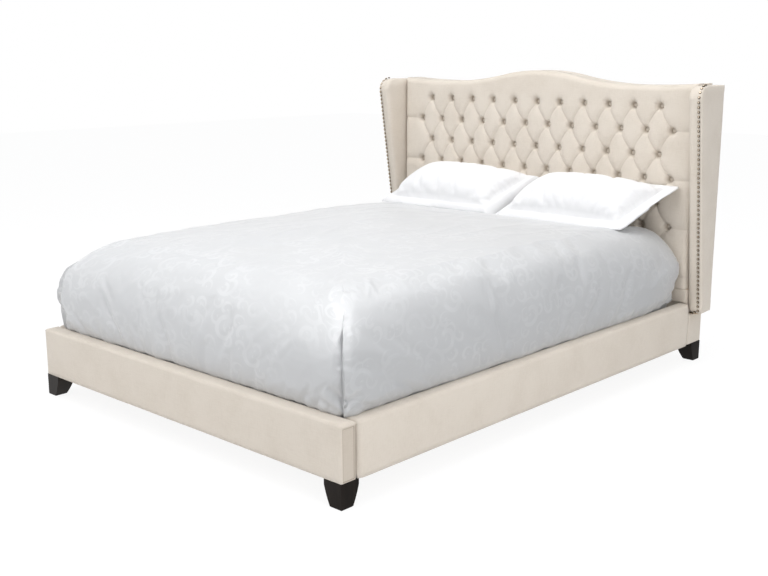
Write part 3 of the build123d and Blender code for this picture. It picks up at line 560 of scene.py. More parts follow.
def mark_painted_shade(piece, amounts):
    """Says for each point how much shade is painted on its cloth, from 0 to 1."""
    shade = piece.data.attributes.new("painted_shade", "FLOAT", "POINT")
    shade.data.foreach_set("value", amounts)


# %% Helpers that move a piece's points
def points_of(mesh):
    """The mesh's points as an array with a row for each."""
    points = np.zeros(len(mesh.vertices) * 3)
    mesh.vertices.foreach_get("co", points)
    return points.reshape(-1, 3)


def set_points(mesh, points):
    """Writes points back to a mesh."""
    mesh.vertices.foreach_set("co", points.ravel())
    mesh.update()


def cloudy(points, scale, seed):
    """Smooth noise from about -1 to 1 at each point."""
    shift = Vector((seed * 7.3, seed * 3.1, seed * 5.7))
    return np.array([noise.noise(Vector(point) * scale + shift) for point in points])


def hill(distance, width):
    """One where the distance is nothing, and smoothly less within about a width."""
    return np.exp(-((distance / width) ** 2))


# %% A helper that swells a piece
def swell(piece, pressure, cap, growth=0.0, pinned=None, frames=20, stiffness=15, share=1):
    """Blows a piece up as cloth. Each point takes over its share of the move, up to cap in all."""
    start = points_of(piece.data)
    cloth = piece.modifiers.new("cloth", "CLOTH")
    settings = cloth.settings
    settings.use_pressure = True
    settings.uniform_pressure_force = pressure
    settings.effector_weights.gravity = 0
    settings.shrink_min = -growth
    settings.tension_stiffness = stiffness
    settings.compression_stiffness = stiffness
    settings.bending_stiffness = 0.4
    if pinned is not None:
        group = piece.vertex_groups.new(name="pinned")
        group.add([int(number) for number in np.flatnonzero(pinned)], 1.0, "REPLACE")
        settings.vertex_group_mass = "pinned"
    cloth.point_cache.frame_start = 1
    cloth.point_cache.frame_end = frames
    for number in range(1, frames + 1):
        scene.frame_set(number)
    shaped = piece.evaluated_get(bpy.context.evaluated_depsgraph_get())
    move = points_of(shaped.data) - start
    far = np.linalg.norm(move, axis=1, keepdims=True)
    move *= np.minimum(1, cap / np.maximum(far, 1e-9))
    piece.modifiers.remove(cloth)
    scene.frame_set(1)
    set_points(piece.data, start + move * np.reshape(share, (-1, 1)))
    print(piece.name, "swelled by up to", round(float(far.max()) * 1000, 1), "mm")


# %% [markdown]
# ## The tufted pad
# Deep tufting is foam under cloth that is drawn back by buttons on cords, with the spare cloth
# folded into pleats that run from button to button. Between them the foam swells into diamonds. It
# could be simulated, but the pleats have to lie exactly on the lines between the buttons, so the
# depth comes from a formula instead: it grows with the distance to the nearest pleats, and falls
# into a funnel at each button. The net of faces is laid so that every pleat runs along its edges.

# %% Where the buttons and the pleats are
half_pitch, row_pitch = 0.06415, 0.104
top_row, button_rows, columns = 1.1106, 8, 11
pad_low, pad_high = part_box("tufted_pad")
pad_half = pad_high.x
outer_button = columns * half_pitch
lowest_row = top_row - (button_rows - 1) * row_pitch
crown_y, pad_back_y = pad_low.y, pad_high.y
button_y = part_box("tuft_buttons")[1].y

buttons = []
for row in range(button_rows):
    count = columns + row % 2
    for column in range(count):
        buttons.append(((column - (count - 1) / 2) * 2 * half_pitch, top_row - row * row_pitch))
pleats = []
for x, z in buttons:
    for step in (-half_pitch, half_pitch):
        if z > lowest_row + row_pitch / 2 and abs(x + step) < outer_button + half_pitch / 2:
            pleats.append((x, z, x + step, z - row_pitch))
    if z > top_row - row_pitch / 2:
        pleats.append((x, z, x, 1.4))
    if abs(x) > outer_button - half_pitch / 2:
        pleats.append((x, z, math.copysign(1.0, x), z))
print(len(buttons), "buttons and", len(pleats), "pleats")

# %% The camelback line along the headboard's top
board_half = 0.818
crest_top, crest_low, crest_end = 1.252, 1.196, 1.208
turn_x, low_x = 0.245 * board_half, 0.64 * board_half
turn_z = crest_top - (crest_top - crest_low) * turn_x / low_x


def arc_drop(reach, drop, distance):
    """How far an arc that starts level has turned away, if it turns by drop over its reach."""
    radius = (reach**2 + drop**2) / (2 * drop)
    return radius - np.sqrt(radius**2 - np.clip(distance, 0, reach) ** 2)


def crest(x):
    """The height of the headboard's top edge at each x."""
    x = np.abs(x)
    crown = crest_top - arc_drop(turn_x, crest_top - turn_z, x)
    hollow = crest_low + arc_drop(low_x - turn_x, turn_z - crest_low, low_x - x)
    rise = crest_low + arc_drop(board_half - low_x, crest_end - crest_low, x - low_x)
    return np.where(x < turn_x, crown, np.where(x < low_x, hollow, rise))


# %% Depth of the tufting
puff_height, pleat_reach = 0.0080, 0.0344
fuller_below, fuller_above = 0.96, 1.12
crease_depth, crease_width = 0.0024, 0.0040
funnel_width = 0.0145
dip_depth, dip_width = 0.0045, 0.034
fold_height, fold_ring, fold_width = 0.0011, 0.02, 0.011
calm_height = 0.055
edge_roll = 0.026


def tufting(x, z):
    """The y of the pad's face at each x and z, and how much shade is painted on the cloth there."""
    crowd, above = np.zeros_like(x), np.zeros_like(x)
    nearest = np.full_like(x, 9.0)
    for x1, z1, x2, z2 in pleats:
        along_x, along_z = x2 - x1, z2 - z1
        share = ((x - x1) * along_x + (z - z1) * along_z) / (along_x**2 + along_z**2)
        share = np.clip(share, 0, 1)
        away_x, away_z = x - x1 - share * along_x, z - z1 - share * along_z
        distance = np.hypot(away_x, away_z) + 1e-6
        crowd += distance**-3.0
        above = np.where(distance < nearest, np.sign(away_z), above)
        nearest = np.minimum(nearest, distance)
    rise = np.clip(crowd ** (-1 / 3) / pleat_reach, 0, 1)
    rise = np.clip(rise * np.where(above > 0, fuller_above, fuller_below), 0, 1)
    hollow = puff_height * (1 - rise) ** 1.7 + crease_depth * np.exp(-nearest / crease_width)
    calm = np.clip(1 - (z - top_row) / calm_height, 0, 1) ** 1.5
    hollow *= calm * np.where(np.abs(x) > outer_button, 0.65, 1)
    to_button, folds = np.full_like(x, 9.0), np.zeros_like(x)
    for bx, bz in buttons:
        radius = np.hypot(x - bx, z - bz)
        turn = np.arctan2(z - bz, x - bx)
        fold = np.sin(9 * turn + 40 * bx + 23 * bz) * hill(radius - fold_ring, fold_width)
        folds = np.where(radius < to_button, fold, folds)
        to_button = np.minimum(to_button, radius)
    funnel = (button_y - crown_y - puff_height) * np.exp(-((to_button / funnel_width) ** 2.4))
    edge = np.clip(np.minimum(pad_half - np.abs(x), crest(x) - z), 0, edge_roll)
    roll = edge_roll - np.sqrt(edge_roll**2 - (edge_roll - edge) ** 2)
    depth = hollow + funnel + dip_depth * hill(to_button, dip_width) + fold_height * folds
    near_edge = 1 - edge / edge_roll
    # Painted shade: deepest in the button funnels, and faint along the pleat lines.
    painted_shade = np.clip((funnel - 0.006) / 0.016, 0, 1) + 0.15 * np.exp(-nearest / 0.0015) * calm
    return crown_y + depth * (1 - 0.35 * near_edge) + roll, painted_shade


# %% Lay the net and press the tufting into it
cells = 14
side_cells, top_cells, low_cells = 14, 16, 5
net_columns = 2 * columns * cells + 2 * side_cells
net_rows = (button_rows - 1) * cells + top_cells + low_cells
bm = flat_net(net_columns, net_rows)
bmesh.ops.poke(bm, faces=bm.faces[:])
skirt = bmesh.ops.extrude_edge_only(bm, edges=rim_of(bm.edges))["geom"]
for vert in points_in(skirt):
    vert.co.z = 1
bmesh.ops.contextual_create(bm, geom=rim_of(skirt))
tufted_pad = hand_over(bm, "tufted_pad_cloth", "frame", "upholstery", ["tufted_pad"])

net = points_of(tufted_pad.data)
steps_x = (net[:, 0] + 1) / 2 * net_columns
steps_z = (net[:, 1] + 1) / 2 * net_rows
pad_x = np.interp(
    steps_x,
    [0, side_cells, net_columns - side_cells, net_columns],
    [-pad_half, -outer_button, outer_button, pad_half],
)
pad_z = np.interp(steps_z, [0, low_cells, net_rows - top_cells], [pad_low.z, lowest_row, top_row])
over_top = np.clip((steps_z - net_rows + top_cells) / top_cells, 0, 1)
pad_z += over_top * (crest(pad_x) - top_row)
face_y, painted_shade = tufting(pad_x, pad_z)
rows_down = (top_row - pad_z) / row_pitch
between_rows = (rows_down > 0) & (rows_down < button_rows - 1)
pleat_bow = 0.0045
bow = pleat_bow * np.sin(math.pi * rows_down) ** 2 * np.clip((pad_half - np.abs(pad_x)) / 0.1, 0, 1)
pad_x = pad_x - np.where(between_rows, bow, 0)
on_back = net[:, 2] > 0.5
pad_points = np.stack([pad_x, np.where(on_back, pad_back_y, face_y), pad_z], axis=1)
pad_points[:, 1] += np.where(on_back, 0, 0.0012 * cloudy(pad_points, 16, 1))
set_points(tufted_pad.data, pad_points)
# Painted shade in the funnels and along the pleats, none on the back.
mark_painted_shade(tufted_pad, np.clip(np.where(on_back, 0, painted_shade), 0, 1) * 0.62)
turn_faces_out(tufted_pad)
print("tufted pad", len(tufted_pad.data.polygons), "faces")

# %% [markdown]
# ## Covered buttons
# Each button is a small dome covered in the same cloth, pulled so deep that only its crown shows. A
# flattened sphere has the right shape, and one bmesh holds all of them as copies.

# %% Buttons at the bottom of the tufts
button_radius, button_height = 0.0118, 0.0085
bm = bmesh.new()
for x, z in buttons:
    dome = bmesh.ops.create_icosphere(bm, subdivisions=2, radius=button_radius)["verts"]
    bmesh.ops.scale(bm, verts=dome, vec=(1, button_height / button_radius, 1))
    bmesh.ops.translate(bm, verts=dome, vec=(x, button_y - button_height * 0.1, z))
tuft_buttons = hand_over(bm, "covered_buttons", "frame", "upholstery", ["tuft_buttons"])
print("buttons", len(tuft_buttons.data.polygons), "faces")

# %% [markdown]
# ## The headboard's edge and back
# Behind the tufting, a strip of cloth over thin foam runs round the headboard's edge, and a plain
# cloth panel closes the back. The strip is a long net bent round the outline and given a thickness.
# The back panel is a net stretched to the camelback line, with its edge rolled over.

# %% Boxing strip round the edge
boxing_low, boxing_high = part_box("crest_boxing")
boxing_depth = boxing_high.y - boxing_low.y
boxing_foam = 0.011
path_cells, depth_cells = 240, 8
side_rise = crest_end - boxing_low.z
path_length = 2 * side_rise + 2 * board_half


def outline_point(distance):
    """A point on the headboard's outline, from its left foot over the crest to its right foot."""
    up_left = np.clip(distance, 0, side_rise)
    across = np.clip(distance - side_rise, 0, 2 * board_half)
    down = np.clip(distance - side_rise - 2 * board_half, 0, side_rise)
    x = -board_half + across
    on_top = (distance > side_rise) & (distance < side_rise + 2 * board_half)
    z = np.where(on_top, crest(x), boxing_low.z + up_left - down)
    return x, z


bm = flat_net(path_cells, depth_cells)
boxing = hand_over(bm, "boxing_cloth", "frame", "upholstery", ["crest_boxing"])
net = points_of(boxing.data)
strip_x, strip_z = outline_point((net[:, 0] + 1) / 2 * path_length)
strip_y = boxing_low.y + (net[:, 1] + 1) / 2 * (boxing_depth + 0.004)
roll = 0.006 * np.abs(net[:, 1]) ** 6
strip_z -= np.where(strip_z > crest_low - 0.01, roll, 0)
strip_x -= np.sign(strip_x) * roll * (np.abs(strip_x) > board_half - 0.01)
set_points(boxing.data, np.stack([strip_x, strip_y, strip_z], axis=1))
thicken(boxing, "foam", boxing_foam, -1)
print("boxing", round(path_length, 3), "m round the edge")

# %% Back panel
back_low, back_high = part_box("back_cover")
back_panel = hand_over(flat_net(90, 60), "back_cloth", "frame", "upholstery", ["back_cover"])
net = points_of(back_panel.data)
back_x = net[:, 0] * board_half
back_z = back_low.z + (net[:, 1] + 1) / 2 * (crest(back_x) - back_low.z)
edge = np.minimum(1 - np.abs(net[:, 0]), 1 - np.abs(net[:, 1]))
back_y = back_high.y - 0.003 * np.clip(1 - edge / 0.03, 0, 1) ** 2
slack = cloudy(np.stack([back_x, back_z * 0, back_z], axis=1), 3.0, 4)
back_y = back_y - 0.001 + 0.001 * slack
set_points(back_panel.data, np.stack([back_x, back_y, back_z], axis=1))
thicken(back_panel, "board", 0.004, 1)
print("back panel", len(back_panel.data.polygons), "faces")

# %% [markdown]
# ## The wings
# A wing is a board in foam and cloth, deeper at the top than at the bottom and turned outwards by a
# few degrees. Its outline is drawn flat from four corners, two of them rounded, pulled out to its
# thickness and softened along its edges. Then it is swollen as cloth, as the foam would do it.

# %% Where the right wing stands
wing_low, wing_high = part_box("wing_cover_right")
wing_thickness = 0.057
wing_flare = math.radians(4.5)
wing_foot_depth, wing_top_depth = 0.114, 0.257
wing_trim = wing_thickness * math.tan(wing_flare)
wing_corner = Vector((board_half + 0.0003, solid_high.y, 0))
wing_seat = Matrix.Translation(wing_corner) @ Matrix.Rotation(wing_flare, 4, "Z")


def wing_place(out, forward, height):
    """The point that lies out from the wing's inner face and forward of its back corner."""
    return wing_seat @ Vector((out, -forward, height))


def side_name(side):
    return "right" if side > 0 else "left"


def mirrored(bm):
    """Turns a right-hand piece into a left-hand one."""
    bmesh.ops.scale(bm, verts=bm.verts[:], vec=(-1, 1, 1))
    face_outwards(bm)


# %% Shape both wings
wing_round, wing_foot_round = 0.060, 0.024
wing_edges = ((0, 0.016), (wing_thickness, 0.006))
wing_step = 0.012


def wing(side):
    bm = bmesh.new()
    outline = (
        (wing_trim, wing_low.z), (wing_foot_depth, wing_low.z),
        (wing_top_depth, wing_high.z), (wing_trim, wing_high.z),
    )
    corners = [bm.verts.new((0, -forward, height)) for forward, height in outline]
    bm.faces.new(corners)
    for corner, radius in ((corners[2], wing_round), (corners[1], wing_foot_round)):
        round_off(bm, [corner], radius * 1.05, 9, "VERTICES")
    pull_out(bm, bm.faces[:], (wing_thickness, 0, 0))
    for face_x, radius in wing_edges:
        rim = [
            edge for edge in bm.edges
            if all(abs(vert.co.x - face_x) < 1e-5 for vert in edge.verts)
        ]
        round_off(bm, rim, radius, 4)
    slice_evenly(bm, 2, wing_low.z, wing_high.z, wing_step)
    slice_evenly(bm, 1, -wing_top_depth, -wing_trim, wing_step)
    slice_evenly(bm, 0, 0, wing_thickness, wing_step)
    bmesh.ops.transform(bm, matrix=wing_seat, verts=bm.verts[:])
    face_outwards(bm)
    if side < 0:
        mirrored(bm)
    name = side_name(side)
    piece = hand_over(bm, f"wing_cloth_{name}", "frame", "upholstery", [f"wing_cover_{name}"])
    swell(piece, 3.0, 0.004, frames=12)
    return piece


wings = [wing(side) for side in (1, -1)]
print("wing", len(wings[0].data.polygons), "faces")

# %% [markdown]
# ## Decorative nails
# A row of domed nails follows each wing's front edge, from its foot round the top corner. One dome
# of a few dozen faces is enough for each. They are set by distance along the edge, so their pitch is
# even. At the foot the last two turn inwards, and the very last one is larger.

# %% Set the nails
nail_radius, nail_height = 0.0062, 0.0034
nail_pitch, nail_inset = 0.0194, 0.012
lean = math.atan2(wing_top_depth - wing_foot_depth, wing_high.z - wing_low.z)


def edge_spots():
    """Places along the wing's front edge: forward, height, the angle it faces and its inset."""
    spots = []
    slope = Vector((math.sin(lean), math.cos(lean)))
    square = Vector((math.cos(lean), -math.sin(lean)))

    def add_on_arc(centre, radius, angle, inset):
        way = Vector((math.cos(angle), math.sin(angle)))
        spots.append((*(centre + way * radius), angle, inset))

    reach = wing_round * math.tan((math.pi / 2 + lean) / 2)
    foot_reach = wing_foot_round * math.tan((math.pi / 2 - lean) / 2)
    low = Vector((wing_foot_depth, wing_low.z)) + slope * foot_reach
    high = Vector((wing_top_depth, wing_high.z)) - slope * reach
    count = round((high - low).length / nail_pitch)
    for number in range(count + 1):
        spots.append((*low.lerp(high, number / count), -lean, nail_inset))
    turn = math.pi / 2 + lean
    count = round(wing_round * turn / nail_pitch)
    for number in range(1, count + 1):
        angle = -lean + turn * number / count
        add_on_arc(high - square * wing_round, wing_round, angle, nail_inset)
    for number in (1, 2):
        angle = -lean - (math.pi / 2 - lean) * number / 4
        inset = nail_inset + 0.015 * number
        add_on_arc(low - square * wing_foot_round, wing_foot_round, angle, inset)
    return spots


spots = edge_spots()
bm = bmesh.new()
bm.loops.layers.uv.new("dome")
for forward, height, angle, inset in spots:
    size = nail_radius * (1.3 if inset > 0.04 else 1)
    dome = bmesh.ops.create_uvsphere(
        bm, u_segments=10, v_segments=8, radius=size, calc_uvs=True
    )["verts"]
    bmesh.ops.scale(bm, verts=dome, vec=(1, 1, nail_height / nail_radius))
    turned = wing_seat.to_3x3() @ Vector((0, -math.cos(angle), math.sin(angle)))
    place = wing_place(wing_thickness - inset, forward, height) + turned * 0.001
    seat = Matrix.Translation(place) @ turned.to_track_quat("Z", "X").to_matrix().to_4x4()
    bmesh.ops.transform(bm, matrix=seat, verts=dome)
copy = bmesh.ops.duplicate(bm, geom=bm.verts[:] + bm.edges[:] + bm.faces[:])["geom"]
bmesh.ops.scale(bm, verts=points_in(copy), vec=(-1, 1, 1))
face_outwards(bm)
nails = hand_over(bm, "nail_heads", "frame", "nail_metal", ["nail_trim"])
print(2 * len(spots), "nails of", len(nails.data.polygons) // (2 * len(spots)), "faces each")

# %% [markdown]
# ## Rails, footboard and post covers
# A rail is a board with foam over its outer face and top, wrapped in one piece of cloth. Its section
# is a hook that is open to the inside of the bed, so it is drawn as a section and pulled along the
# bed. The footboard is wrapped on all its upright faces and closed at its ends by sewn panels.

# %% Rail covers
rail_low, rail_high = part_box("rail_cover_right")
core_low, core_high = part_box("rail_core_right")
ledger_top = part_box("ledger_right")[1].z
edge_round = 0.012
foam_crown, slack_height = 0.003, 0.0012


def rail(side):
    bm = bmesh.new()
    section = [
        (rail_high.x, rail_low.z), (rail_high.x, rail_high.z), (rail_low.x, rail_high.z),
        (rail_low.x, ledger_top), (core_low.x, ledger_top), (core_low.x, core_high.z),
        (core_high.x, core_high.z), (core_high.x, rail_low.z),
    ]
    corners = [bm.verts.new((x, rail_low.y, z)) for x, z in section]
    bm.faces.new(corners)
    round_off(bm, corners[1:3], edge_round, 5, "VERTICES")
    pull_out(bm, bm.faces[:], (0, rail_high.y - rail_low.y, 0))
    slice_evenly(bm, 1, rail_low.y, rail_high.y, 0.02)
    slice_evenly(bm, 2, rail_low.z, rail_high.z, 0.016)
    face_outwards(bm)
    if side < 0:
        mirrored(bm)
    name = side_name(side)
    piece = hand_over(bm, f"rail_cloth_{name}", "frame", "upholstery", [f"rail_cover_{name}"])
    points = points_of(piece.data)
    outer = np.abs(points[:, 0]) > core_high.x + 0.001
    from_end = np.minimum(points[:, 1] - rail_low.y, rail_high.y - points[:, 1])
    height = (points[:, 2] - rail_low.z) / (rail_high.z - rail_low.z)
    bulge = foam_crown * np.sin(math.pi * np.clip(height, 0, 1)) - 0.006 * np.exp(-from_end / 0.008)
    bulge += slack_height * cloudy(points, 5.0, 2)
    points[:, 0] += side * np.where(outer, bulge, 0)
    at_end = outer & (from_end < 1e-4)
    inwards = np.where(points[:, 1] < 0, 1, -1)
    points[:, 1] += np.where(at_end, inwards * (0.003 + 0.0016 * cloudy(points, 40, 14)), 0)
    set_points(piece.data, points)
    return piece


rails = [rail(side) for side in (1, -1)]
print("rail", len(rails[0].data.polygons), "faces")

# %% Footboard cover
board_low, board_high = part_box("footboard_cover")
foot_core_low, foot_core_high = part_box("footboard_core")
board_rise = board_high.z - board_low.z
bm = block(board_low, board_high)
top_edges = [
    edge for edge in bm.edges if all(vert.co.z > board_high.z - 1e-4 for vert in edge.verts)
]
round_off(bm, top_edges, edge_round, 5)
upright = [
    edge for edge in bm.edges if abs(edge.verts[0].co.z - edge.verts[1].co.z) > board_rise / 2
]
round_off(bm, upright, 0.005, 3)
end_panels = [face for face in bm.faces if abs(face.normal.x) > 0.99 and face.calc_area() > 0.005]
for width, sink in ((0.003, 0), (0.0022, -0.0022), (0.0022, 0.0012)):
    bmesh.ops.inset_individual(bm, faces=end_panels, thickness=width, depth=sink)
base = min(bm.faces, key=lambda face: face.calc_center_median().z)
bmesh.ops.inset_region(bm, faces=[base], thickness=0.001)
middle = (foot_core_low + foot_core_high) / 2
reach = (foot_core_high - foot_core_low) / 2
for vert in base.verts:
    for axis in (0, 1):
        vert.co[axis] = middle[axis] + math.copysign(reach[axis], vert.co[axis] - middle[axis])
pull_out(bm, [base], (0, 0, foot_core_high.z - board_low.z))
bmesh.ops.remove_doubles(bm, verts=bm.verts[:], dist=1e-5)
for axis, step in ((0, 0.02), (2, 0.016), (1, 0.013)):
    slice_evenly(bm, axis, board_low[axis], board_high[axis], step)
face_outwards(bm)
footboard = hand_over(bm, "footboard_cloth", "frame", "upholstery", ["footboard_cover"])

# %% Crown the footboard's face and paint shade on its end panels and seams
points = points_of(footboard.data)
front = points[:, 1] < foot_core_low.y - 0.001
height = (points[:, 2] - board_low.z) / board_rise
from_end = board_high.x - np.abs(points[:, 0])
bulge = foam_crown * np.sin(math.pi * np.clip(height, 0, 1)) * np.clip(from_end / 0.03, 0, 1)
points[:, 1] -= np.where(front, bulge + slack_height * cloudy(points, 5.0, 3), 0)
set_points(footboard.data, points)
# Painted shade: the end panels are painted a little darker, and their seams darker still.
in_panel = (from_end < 0.004) & (points[:, 1] > board_low.y + 0.006) & (height < 0.94)
in_seam = in_panel & (from_end > 0.0018)
mark_painted_shade(footboard, np.where(in_seam, 0.9, np.where(in_panel, 0.28, 0)))
print("footboard", len(footboard.data.polygons), "faces")


# %% Covers below the wings, and the cloth behind the mattress
def wrapped_block(low, high, name, rounding, step, replaced):
    """A block with soft edges and a net of faces, from its lowest to its highest corner."""
    bm = block(low, high)
    round_off(bm, bm.edges[:], rounding, 3)
    for axis in range(3):
        slice_evenly(bm, axis, low[axis], high[axis], step)
    piece = hand_over(bm, name, "frame", "upholstery", replaced)
    points = points_of(piece.data)
    points[:, 2] += 0.0006 * cloudy(points, 12.0, 5)
    set_points(piece.data, np.clip(points, low, high))
    print(name, len(piece.data.polygons), "faces")


for side in (1, -1):
    covered = f"post_cover_{side_name(side)}"
    wrapped_block(*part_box(covered), f"post_cloth_{side_name(side)}", 0.004, 0.014, [covered])
sheet_low, sheet_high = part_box("lower_cover")
wrapped_block(sheet_low, sheet_high, "lower_cloth", 0.0006, 0.03, ["lower_cover"])
apron_low = Vector((-pad_half, crown_y + 0.003, rail_high.z + 0.002))
apron_high = Vector((pad_half, sheet_low.y, pad_low.z))
wrapped_block(apron_low, apron_high, "apron_cloth", 0.003, 0.012, [])
for side in (-1, 1):
    inner, outer = sorted((side * sheet_high.x, side * (sheet_high.x + 0.0008)))
    return_low = Vector((inner, sheet_low.y, wing_low.z + 0.001))
    return_high = Vector((outer, sheet_low.y + 0.05, pad_low.z))
    wrapped_block(return_low, return_high, f"return_cloth_{side_name(side)}", 0.0003, 0.02, [])

# %% [markdown]
# ## The bedding
# A mattress and a coverlet over it have the same kind of form: a cap with upright sides, round
# shoulders and a crowned top. The net has a flat middle for the top, and strips pulled out from its
# rim for the sides, so its lines run straight down the sides and a fold can follow one of them.
# Distances along the net are true to the cloth, so its flat coordinates can carry the pattern.

# %% A form that a flat net is draped over
def arc_through(first, middle, last):
    """The height of the upper arc through three points, as a function of place."""
    (x1, y1), (x2, y2), (x3, y3) = first, middle, last
    twice = 2 * (x1 * (y2 - y3) + x2 * (y3 - y1) + x3 * (y1 - y2))
    s1, s2, s3 = x1**2 + y1**2, x2**2 + y2**2, x3**2 + y3**2
    cx = (s1 * (y2 - y3) + s2 * (y3 - y1) + s3 * (y1 - y2)) / twice
    cy = (s1 * (x3 - x2) + s2 * (x1 - x3) + s3 * (x2 - x1)) / twice
    radius = math.hypot(x1 - cx, y1 - cy)
    return lambda place: cy + np.sqrt(radius**2 - (place - cx) ** 2)


class Cap:
    """A bed layer: sides, shoulders and a crowned top, with a net's flat size."""

    def __init__(self, half_width, foot, head, low, level, tuck, tuck_top, shoulder, head_shoulder,
                 shoulder_z, head_z, top, crown_y, corner):
        self.half_width, self.foot, self.head, self.corner = half_width, foot, head, corner
        self.level, self.shoulder, self.head_shoulder = level, shoulder, head_shoulder
        self.shoulder_z = shoulder_z
        rise = shoulder_z - level
        radius = (shoulder**2 + rise**2) / (2 * shoulder)
        sweep = np.linspace(0, math.asin(rise / radius), 12)
        inset = np.concatenate([[tuck, tuck, tuck / 4], radius * (1 - np.cos(sweep))])
        height = np.concatenate([[low, tuck_top, tuck_top + tuck / 2], level + radius * np.sin(sweep)])
        steps = np.hypot(np.diff(inset), np.diff(height))
        self.path = np.concatenate([[0], np.cumsum(steps)])
        self.inset, self.height = inset, height
        self.drop = self.path[-1]
        self.flat_half = Vector((
            self.drop + half_width - shoulder, self.drop + (head - foot) / 2 - shoulder,
        ))
        edge = half_width - shoulder
        self.across = arc_through((-edge, shoulder_z), (0, top), (edge, shoulder_z))
        self.lengthwise = arc_through(
            (foot + shoulder, shoulder_z), (crown_y, top + 0.004), (head - head_shoulder, head_z)
        )

    def top_at(self, x, y):
        """The height of the top at a place, or at the shoulder nearest to it."""
        edge = self.half_width - self.shoulder
        first = self.across(np.clip(x, -edge, edge))
        second = self.lengthwise(np.clip(y, self.foot + self.shoulder, self.head - self.head_shoulder))
        melt, melt_lift = 0.008, 0.3
        lower = -melt * np.log(np.exp(-first / melt) + np.exp(-second / melt))
        return lower + melt * melt_lift

    def drape(self, unit, down):
        """Where points of a net come to lie. Unit runs from -1 to 1 both ways over the top, and
        down is 0 there and grows to 1 at the hem."""
        top_half = np.array(self.flat_half) - self.drop
        flat = unit * top_half
        past = np.where(down > 0, 0, np.min(top_half - np.abs(flat), axis=1))
        ring = np.maximum(top_half - past[:, None], 1e-6)
        reach = self.drop * (1 - down)
        inset = np.interp(reach, self.path, self.inset) + past
        side_half = np.maximum(self.half_width - inset, 0)
        head_share = self.head_shoulder / self.shoulder
        head_inset = np.where(past > 0, self.head_shoulder + past, inset * head_share)
        foot_line, head_line = self.foot + inset, self.head - head_inset
        middle, half = (foot_line + head_line) / 2, np.maximum((head_line - foot_line) / 2, 0)
        across, along = (flat / ring).T * np.array([side_half, half])
        widening, top_widening = 0.20, 0.25
        bend = self.corner + widening * inset
        bend += top_widening * np.maximum(inset - self.shoulder, 0)
        bend = np.minimum(bend, np.minimum(side_half, half) * 0.98)
        core_x = np.clip(across, bend - side_half, side_half - bend)
        core_y = np.clip(along, bend - half, half - bend)
        out_x, out_y = across - core_x, along - core_y
        length = np.hypot(out_x, out_y)
        longest = np.maximum(np.maximum(np.abs(out_x), np.abs(out_y)), 1e-9)
        scale = np.where(length > 1e-9, longest / np.maximum(length, 1e-9), 1)
        x, y = core_x + out_x * scale, middle + core_y + out_y * scale
        top = self.top_at(x, y)
        side = np.interp(reach, self.path, self.height)
        stretch = (top - self.level) / (self.shoulder_z - self.level)
        side = np.where(side > self.level, self.level + (side - self.level) * stretch, side)
        return np.stack([x, y, np.where(down > 0, side, top)], axis=1)


def cap_net(columns, rows, strips, crowding):
    """A grid from -1 to 1 with strips pulled out from its rim. A strip's number is its points' z.
    Crowding draws the grid's lines towards its rim."""
    bm = flat_net(columns, rows)
    bm.loops.layers.uv.new("cloth")
    for vert in bm.verts:
        for axis in (0, 1):
            vert.co[axis] += crowding * math.sin(math.pi * vert.co[axis]) / math.pi
    rim = rim_of(bm.edges)
    for number in range(1, strips + 1):
        made = bmesh.ops.extrude_edge_only(bm, edges=rim)["geom"]
        rim = rim_of(made)
        for vert in points_in(made):
            vert.co.z = number
    return bm, rim


def lay_out_cloth(piece, form, unit, down, turning):
    """Writes how far each point lies along the cloth, in metres, as the net's flat coordinates.
    A strip belongs to the side that its faces are nearest to, so the pattern breaks at a corner.
    Turning, from 0 to 1, says where the pattern runs round the corner instead."""
    mesh = piece.data
    top_half = np.array(form.flat_half) - form.drop
    corners = np.zeros(len(mesh.loops), dtype=int)
    mesh.loops.foreach_get("vertex_index", corners)
    per_face = np.array([face.loop_total for face in mesh.polygons])
    first = np.cumsum(per_face) - per_face
    middle = np.add.reduceat(unit[corners], first, axis=0) / per_face[:, None]
    sideways = np.repeat(np.abs(middle[:, 0]) > np.abs(middle[:, 1]), per_face)
    flat = unit[corners] * top_half
    straight = np.stack([sideways, ~sideways], axis=1) * np.sign(flat)
    corner_reach = 0.12
    fan = np.clip(1 - (top_half - np.abs(flat)) / corner_reach, 0.001, 1) * np.sign(flat)
    fan /= np.maximum(np.linalg.norm(fan, axis=1, keepdims=True), 1e-9)
    way = straight + (fan - straight) * turning[corners, None]
    flat += way * (down[corners] * form.drop)[:, None]
    mesh.uv_layers["cloth"].uv.foreach_set("vector", flat.ravel())


# %% [markdown]
# ### The mattress
# Under the coverlet lies a thick mattress in quilted ticking. It only shows when the bedding is
# lifted, and is made like the coverlet: a net draped over its form, closed underneath, with the
# quilting pressed into its top and a round tape sewn along its lower edge.

# %% Mattress
mattress_low, mattress_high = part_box("mattress")
mattress_form = Cap(
    half_width=0.757, foot=mattress_low.y + 0.0015, head=mattress_high.y - 0.0015,
    low=mattress_low.z, level=0.394, tuck=0.0, tuck_top=0.30, shoulder=0.133,
    head_shoulder=0.060, shoulder_z=0.575, head_z=0.520, top=0.603, crown_y=-0.196, corner=0.045,
)
strips = 34
bm, hem = cap_net(120, 150, strips, 0.3)
under = bmesh.ops.extrude_edge_only(bm, edges=hem)["geom"]
for vert in points_in(under):
    vert.co.z = strips + 1
bmesh.ops.contextual_create(bm, geom=rim_of(under))
mattress = hand_over(bm, "ticking_cloth", "mattress", "mattress_ticking", ["mattress"])
net = points_of(mattress.data)
down = np.minimum(net[:, 2] / strips, 1)
points = mattress_form.drape(net[:, :2], down)
above_hem = mattress_form.drop * (1 - down)
under_side = net[:, 2] > strips + 0.5
flat = net[:, :2] * (np.array(mattress_form.flat_half) - mattress_form.drop)
quilt_pitch, quilt_depth = 0.16, 0.008
quilt = np.prod(np.abs(np.sin(flat * math.pi / quilt_pitch)), axis=1)
